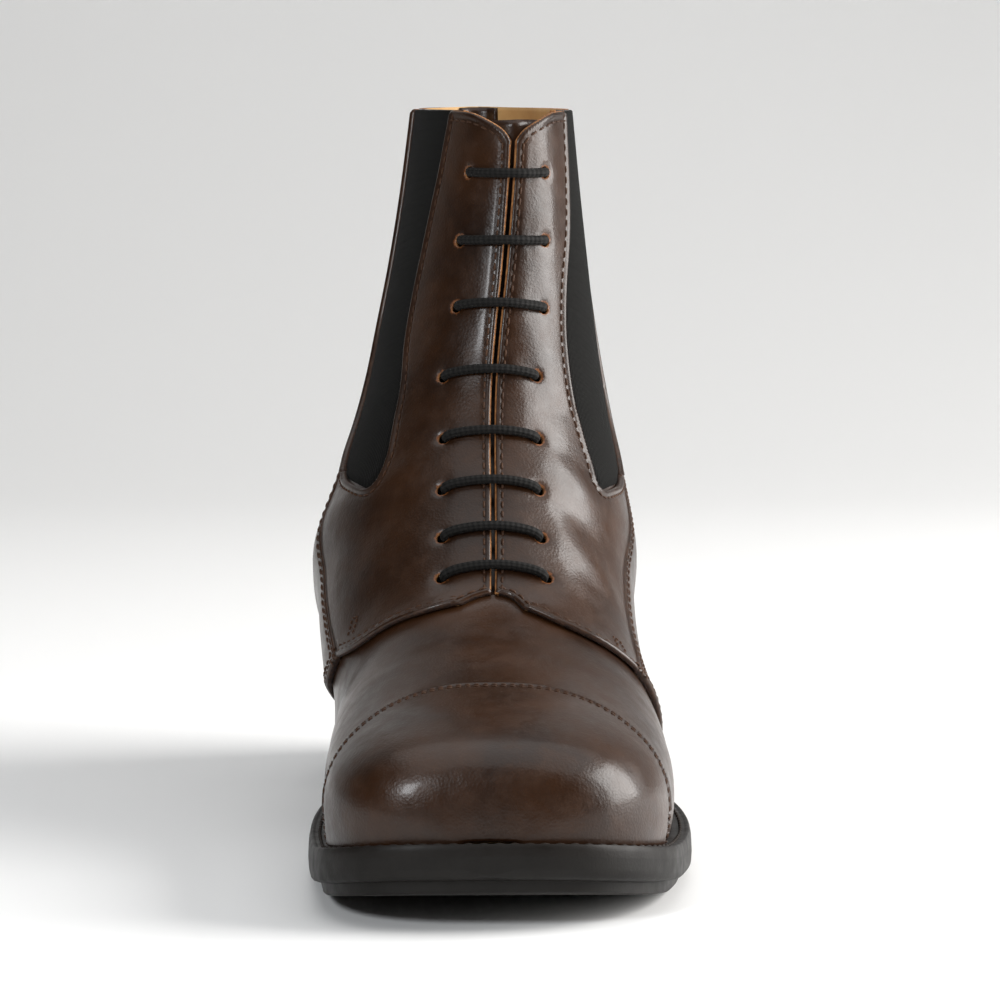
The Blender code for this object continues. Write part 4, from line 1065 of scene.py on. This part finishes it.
def sole_pieces():
    """Sole, welt, insole and heel. It gives the rows of the welt's stitches."""
    tread_top = TREAD_DEPTH
    band_top = TREAD_DEPTH + BAND_DEPTH
    soft = 0.0004
    levels = [
        (0.0, 0.0, band_top),
        (-0.0001, -0.0001, (band_top + tread_top) / 2),
        (0.0, 0.0, tread_top + 0.0008),
        (0.0005, 0.0003, tread_top + 0.0002),
        (0.0012, 0.0004, tread_top),
        (TREAD_INSET, 0.0008, tread_top - 0.0002),
        (TREAD_INSET, 0.0008, soft),
        (TREAD_INSET + soft, 0.0008 + soft, 0.0),
    ]
    slab("outsole_rubber", levels, [RUBBER, TREAD], ["outsole"])
    low = band_top - 0.0001
    levels = [
        (0.0016, 0.0012, SOLE_TOP),
        (0.0011, 0.0008, SOLE_TOP + 0.0002),
        (0.0006, 0.0005, SOLE_TOP + 0.0001),
        (WELT_INSET, WELT_INSET, SOLE_TOP - 0.0004),
        (WELT_INSET - 0.0002, WELT_INSET - 0.0002, (SOLE_TOP + low) / 2),
        (0.0, 0.0, low),
    ]
    slab("welt_strip", levels, [WELT], ["welt"])
    rows = []
    for side in (-1, 1):
        edge = inset_edge(side, 0.0027, 0.0019)
        s = np.linspace(float(edge[0, 0]), HEEL_BREAST * SOLE_LENGTH, 1600)
        s = np.sort(np.concatenate([s, edge[:200, 0]]))
        s = s[s <= HEEL_BREAST * SOLE_LENGTH]
        path = np.stack([side * edge_width(edge, s) + middle(s), s - SOLE_LENGTH / 2, lift(s) + SOLE_TOP], 1)
        up = np.tile((0.0, 0.0, 1.0), (len(s), 1))
        rows.append((path + SHIFT, up, 0.0026, 0.0008, 0.00042))
    toe_edge = TOE_REACH + UPPER_WALL + INSOLE_GAP * 0.5
    heel_edge = HEEL_REACH + UPPER_WALL + INSOLE_GAP * 0.5
    base = SOLE_TOP + CLEAR
    levels = [
        (toe_edge + 0.0012, heel_edge + 0.0012, base + INSOLE_DEPTH),
        (toe_edge + 0.0003, heel_edge + 0.0003, base + INSOLE_DEPTH - 0.0003),
        (toe_edge, heel_edge, base + INSOLE_DEPTH - 0.001),
        (toe_edge, heel_edge, base),
    ]
    slab("insole_sock", levels, [LINING], ["insole"], stations=120)
    seat = HEEL_HEIGHT - CLEAR * 0.3
    base = 0.0006
    rings = [(base + 0.0002, seat), (base, seat - 0.0003)]
    for taper, high, low, groove in ((0.2, 0.80, 0.77, 0), (0.45, 0.61, 0.58, 0), (0.6, 0.42, 0.36, 1)):
        inset = base + HEEL_TAPER * taper
        if groove:
            inner = [(inset + HEEL_GROOVE, seat * 0.41), (inset + HEEL_GROOVE, seat * 0.37)]
        else:
            inner = [(inset + 0.0003, seat * (high + low) / 2)]
        rings += [(inset, seat * high), *inner, (inset, seat * low)]
    rings += [(base + HEEL_TAPER, 0.0005), (base + HEEL_TAPER + 0.0005, 0.0)]
    levels = [(inset, inset, (lambda z: lambda s: z)(z)) for inset, z in rings]
    slab("heel_block", levels, [RUBBER, TREAD], ["heel"], first=HEEL_BREAST, stations=120)
    return rows


# Loop behind the collar
def back_row(z):
    """The row at which the back seam has this height."""
    rows = np.linspace(HEEL_ROW + 1, LAST_ROW, 97)
    return float(np.interp(z, surface(rows, np.ones(97))[:, 2], rows))


def loop_piece():
    """The folded tape of the pull loop, standing behind the collar."""
    rim = float(surface(float(LAST_ROW), 1.0)[2]) - LOOP_DROP
    gap = LAY + BACK_WALL + 2 * CLEAR
    rows = [back_row(rim - LOOP_HEIGHT * share) for share in np.linspace(0, 1, 15)]
    near, normal = place(np.array(rows), np.ones(15), gap, bumps=False)
    puff = 0.0009 * np.sin(np.linspace(0, math.pi, 15)) ** 0.7
    near_out = near + normal * LOOP_WALL * 0.95
    far_in = near_out + normal * (0.0001 + puff)[:, None]
    far_out = far_in + normal * LOOP_WALL * 0.95
    radius = float(np.linalg.norm(far_out[0] - near[0])) / 2
    bend = []
    for turn in np.linspace(0, math.pi, 9)[1:-1]:
        aside = normal[0] * -math.cos(turn) + np.array([0, 0, 1.0]) * math.sin(turn)
        bend.append((near[0] + far_out[0]) / 2 + aside * radius)
    profile = np.array([*near[::-1], *bend, *far_out])
    columns = np.array([-1, -0.94, -0.8, -0.4, 0, 0.4, 0.8, 0.94, 1]) * LOOP_WIDTH / 2
    count = len(profile)
    mid = (profile + profile[::-1]) / 2
    cloud = []
    for x in columns:
        shrink = 0.82 if x in (columns[0], columns[-1]) else 1.0
        ring = mid + (profile - mid) * shrink
        ring[:, 0] = SHIFT[0] + x
        cloud.append(ring)
    cloud = np.concatenate(cloud)
    faces = [face[::-1] for face in between_rings(len(columns), count)]
    row = np.tile(np.linspace(0, 12, count), len(columns))
    column = np.repeat(columns * 1000, count)
    attrs = {"row": row, "column": column, "edge": np.full(len(cloud), 9.0)}
    make("pull_loop_tape", cloud, faces, [TAPE], replaced=["pull_loop"], attrs=attrs)


def collar_patch():
    """Dark patch inside the back of the collar, where the loop is anchored."""
    rows = np.linspace(LAST_ROW - 2.1, LAST_ROW - 0.02, 24)
    half = 0.0068
    layers = []
    wall = -UPPER_WALL
    for depth, trim in ((wall - 0.0010, 0.0008), (wall - 0.0008, 0.0002), (wall - 0.0001, 0.0)):
        grid = []
        for u in rows:
            girth = float(np.linalg.norm(surface(u, 0.97) - surface(u, 1.0))) / 0.03
            shares = np.abs(np.linspace(-1, 1, 17))
            sides = np.where(np.arange(17) < 9, 1, -1)
            v = sides * (1 - (half - trim) * shares / girth)
            grid.append(place(np.full(17, u), v, depth, bumps=False)[0])
        layers.append(np.array(grid))
    sheet("collar_patch", layers, [LEATHER], (0, 0, 0))
    grid = layers[0][1:-1]
    inward = unit(np.cross(grid[:, 9] - grid[:, 7], np.gradient(grid[:, 8], axis=0)))
    inward *= -1.0 if inward[:, 1].mean() > 0 else 1.0
    for k in (1, -2):
        STITCHES.append((grid[:, k], inward, 0.0022, 0.0007, 0.0003))


# Stage
def stage_and_light():
    """A pale floor that curves up behind the boot, three soft lights and a faint sky."""
    far, wide, bend_start, bend, high = 3.0, 5.0, 0.9, 1.2, 5.4
    profile = [(-far, 0.0), (bend_start, 0.0)]
    for turn in np.linspace(0, math.pi / 2, 16)[1:]:
        profile.append((bend_start + bend * math.sin(turn), bend - bend * math.cos(turn)))
    profile.append((bend_start + bend, high))
    verts, faces = [], []
    for y, z in profile:
        verts += [(-wide, y, z), (wide, y, z)]
    for i in range(len(profile) - 1):
        faces.append((2 * i, 2 * i + 1, 2 * i + 3, 2 * i + 2))
    mesh = bpy.data.meshes.new("floor")
    mesh.from_pydata(verts, [], faces)
    mesh.polygons.foreach_set("use_smooth", [True] * len(faces))
    floor = Nodes("pale_floor")
    floor.set(Base_Color=(0.92, 0.92, 0.915), Roughness=0.8)
    mesh.materials.append(floor.mat)
    obj = linked("floor", mesh)

    def area(name, spot, target, size, power, tint):
        data = bpy.data.lights.new(name, "AREA")
        data.shape = "RECTANGLE"
        data.size, data.size_y = size
        data.energy = power
        data.color = tint
        lamp = linked(name, data)
        lamp.location = spot
        lamp.rotation_euler = (Vector(target) - Vector(spot)).to_track_quat("-Z", "Y").to_euler()

    area("key", (1.15, -0.02, 0.56), (0, 0.0, 0.09), (0.9, 1.0), 31.0, (1.0, 0.985, 0.965))
    area("fill", (-0.60, -1.0, 0.70), (0, -0.02, 0.09), (0.22, 0.30), 7.0, (0.94, 0.97, 1.0))
    area("top", (0.1, 0.0, 1.8), (0, 0, 0.05), (2.2, 2.2), 19.0, (1.0, 1.0, 1.0))
    world = bpy.data.worlds.new("studio")
    world.use_nodes = True
    world.node_tree.nodes["Background"].inputs["Color"].default_value = (1.0, 1.0, 1.0, 1.0)
    world.node_tree.nodes["Background"].inputs["Strength"].default_value = 0.05
    bpy.context.scene.world = world
    bpy.context.scene.view_settings.view_transform = "Standard"


PHOTO_LENS, CLOSER = 64.8, 2.28
CAMERA_SPOT, CAMERA_HEIGHT = (-0.0251, -0.9007), 0.182


def camera():
    """The photograph's place and height, turned towards the boot and with a longer lens."""
    data = bpy.data.cameras.new("camera")
    data.sensor_width = 36.0
    data.lens = PHOTO_LENS * CLOSER
    data.clip_start, data.clip_end = 0.05, 30
    cam = linked("camera", data)
    x, y = CAMERA_SPOT
    spot = Vector((x + SHIFT[0], y - SOLE_LENGTH / 2 + SHIFT[1], CAMERA_HEIGHT))
    yaw = math.atan2(-0.0209, 0.9998) + math.radians(2.74)
    pitch = math.radians(-5.37)
    way = Vector((math.sin(yaw) * math.cos(pitch), math.cos(yaw) * math.cos(pitch), math.sin(pitch)))
    cam.location = spot
    cam.rotation_euler = way.to_track_quat("-Z", "Y").to_euler()
    bpy.context.scene.camera = cam


camera()
stage_and_light()
upper_pieces()
tongue_piece()
lace_piece()
welt_rows = sole_pieces()
loop_piece()
collar_patch()
thread_mesh("stitching", STITCHES, THREAD)
thread_mesh("welt_stitches", welt_rows, WELT_THREAD)
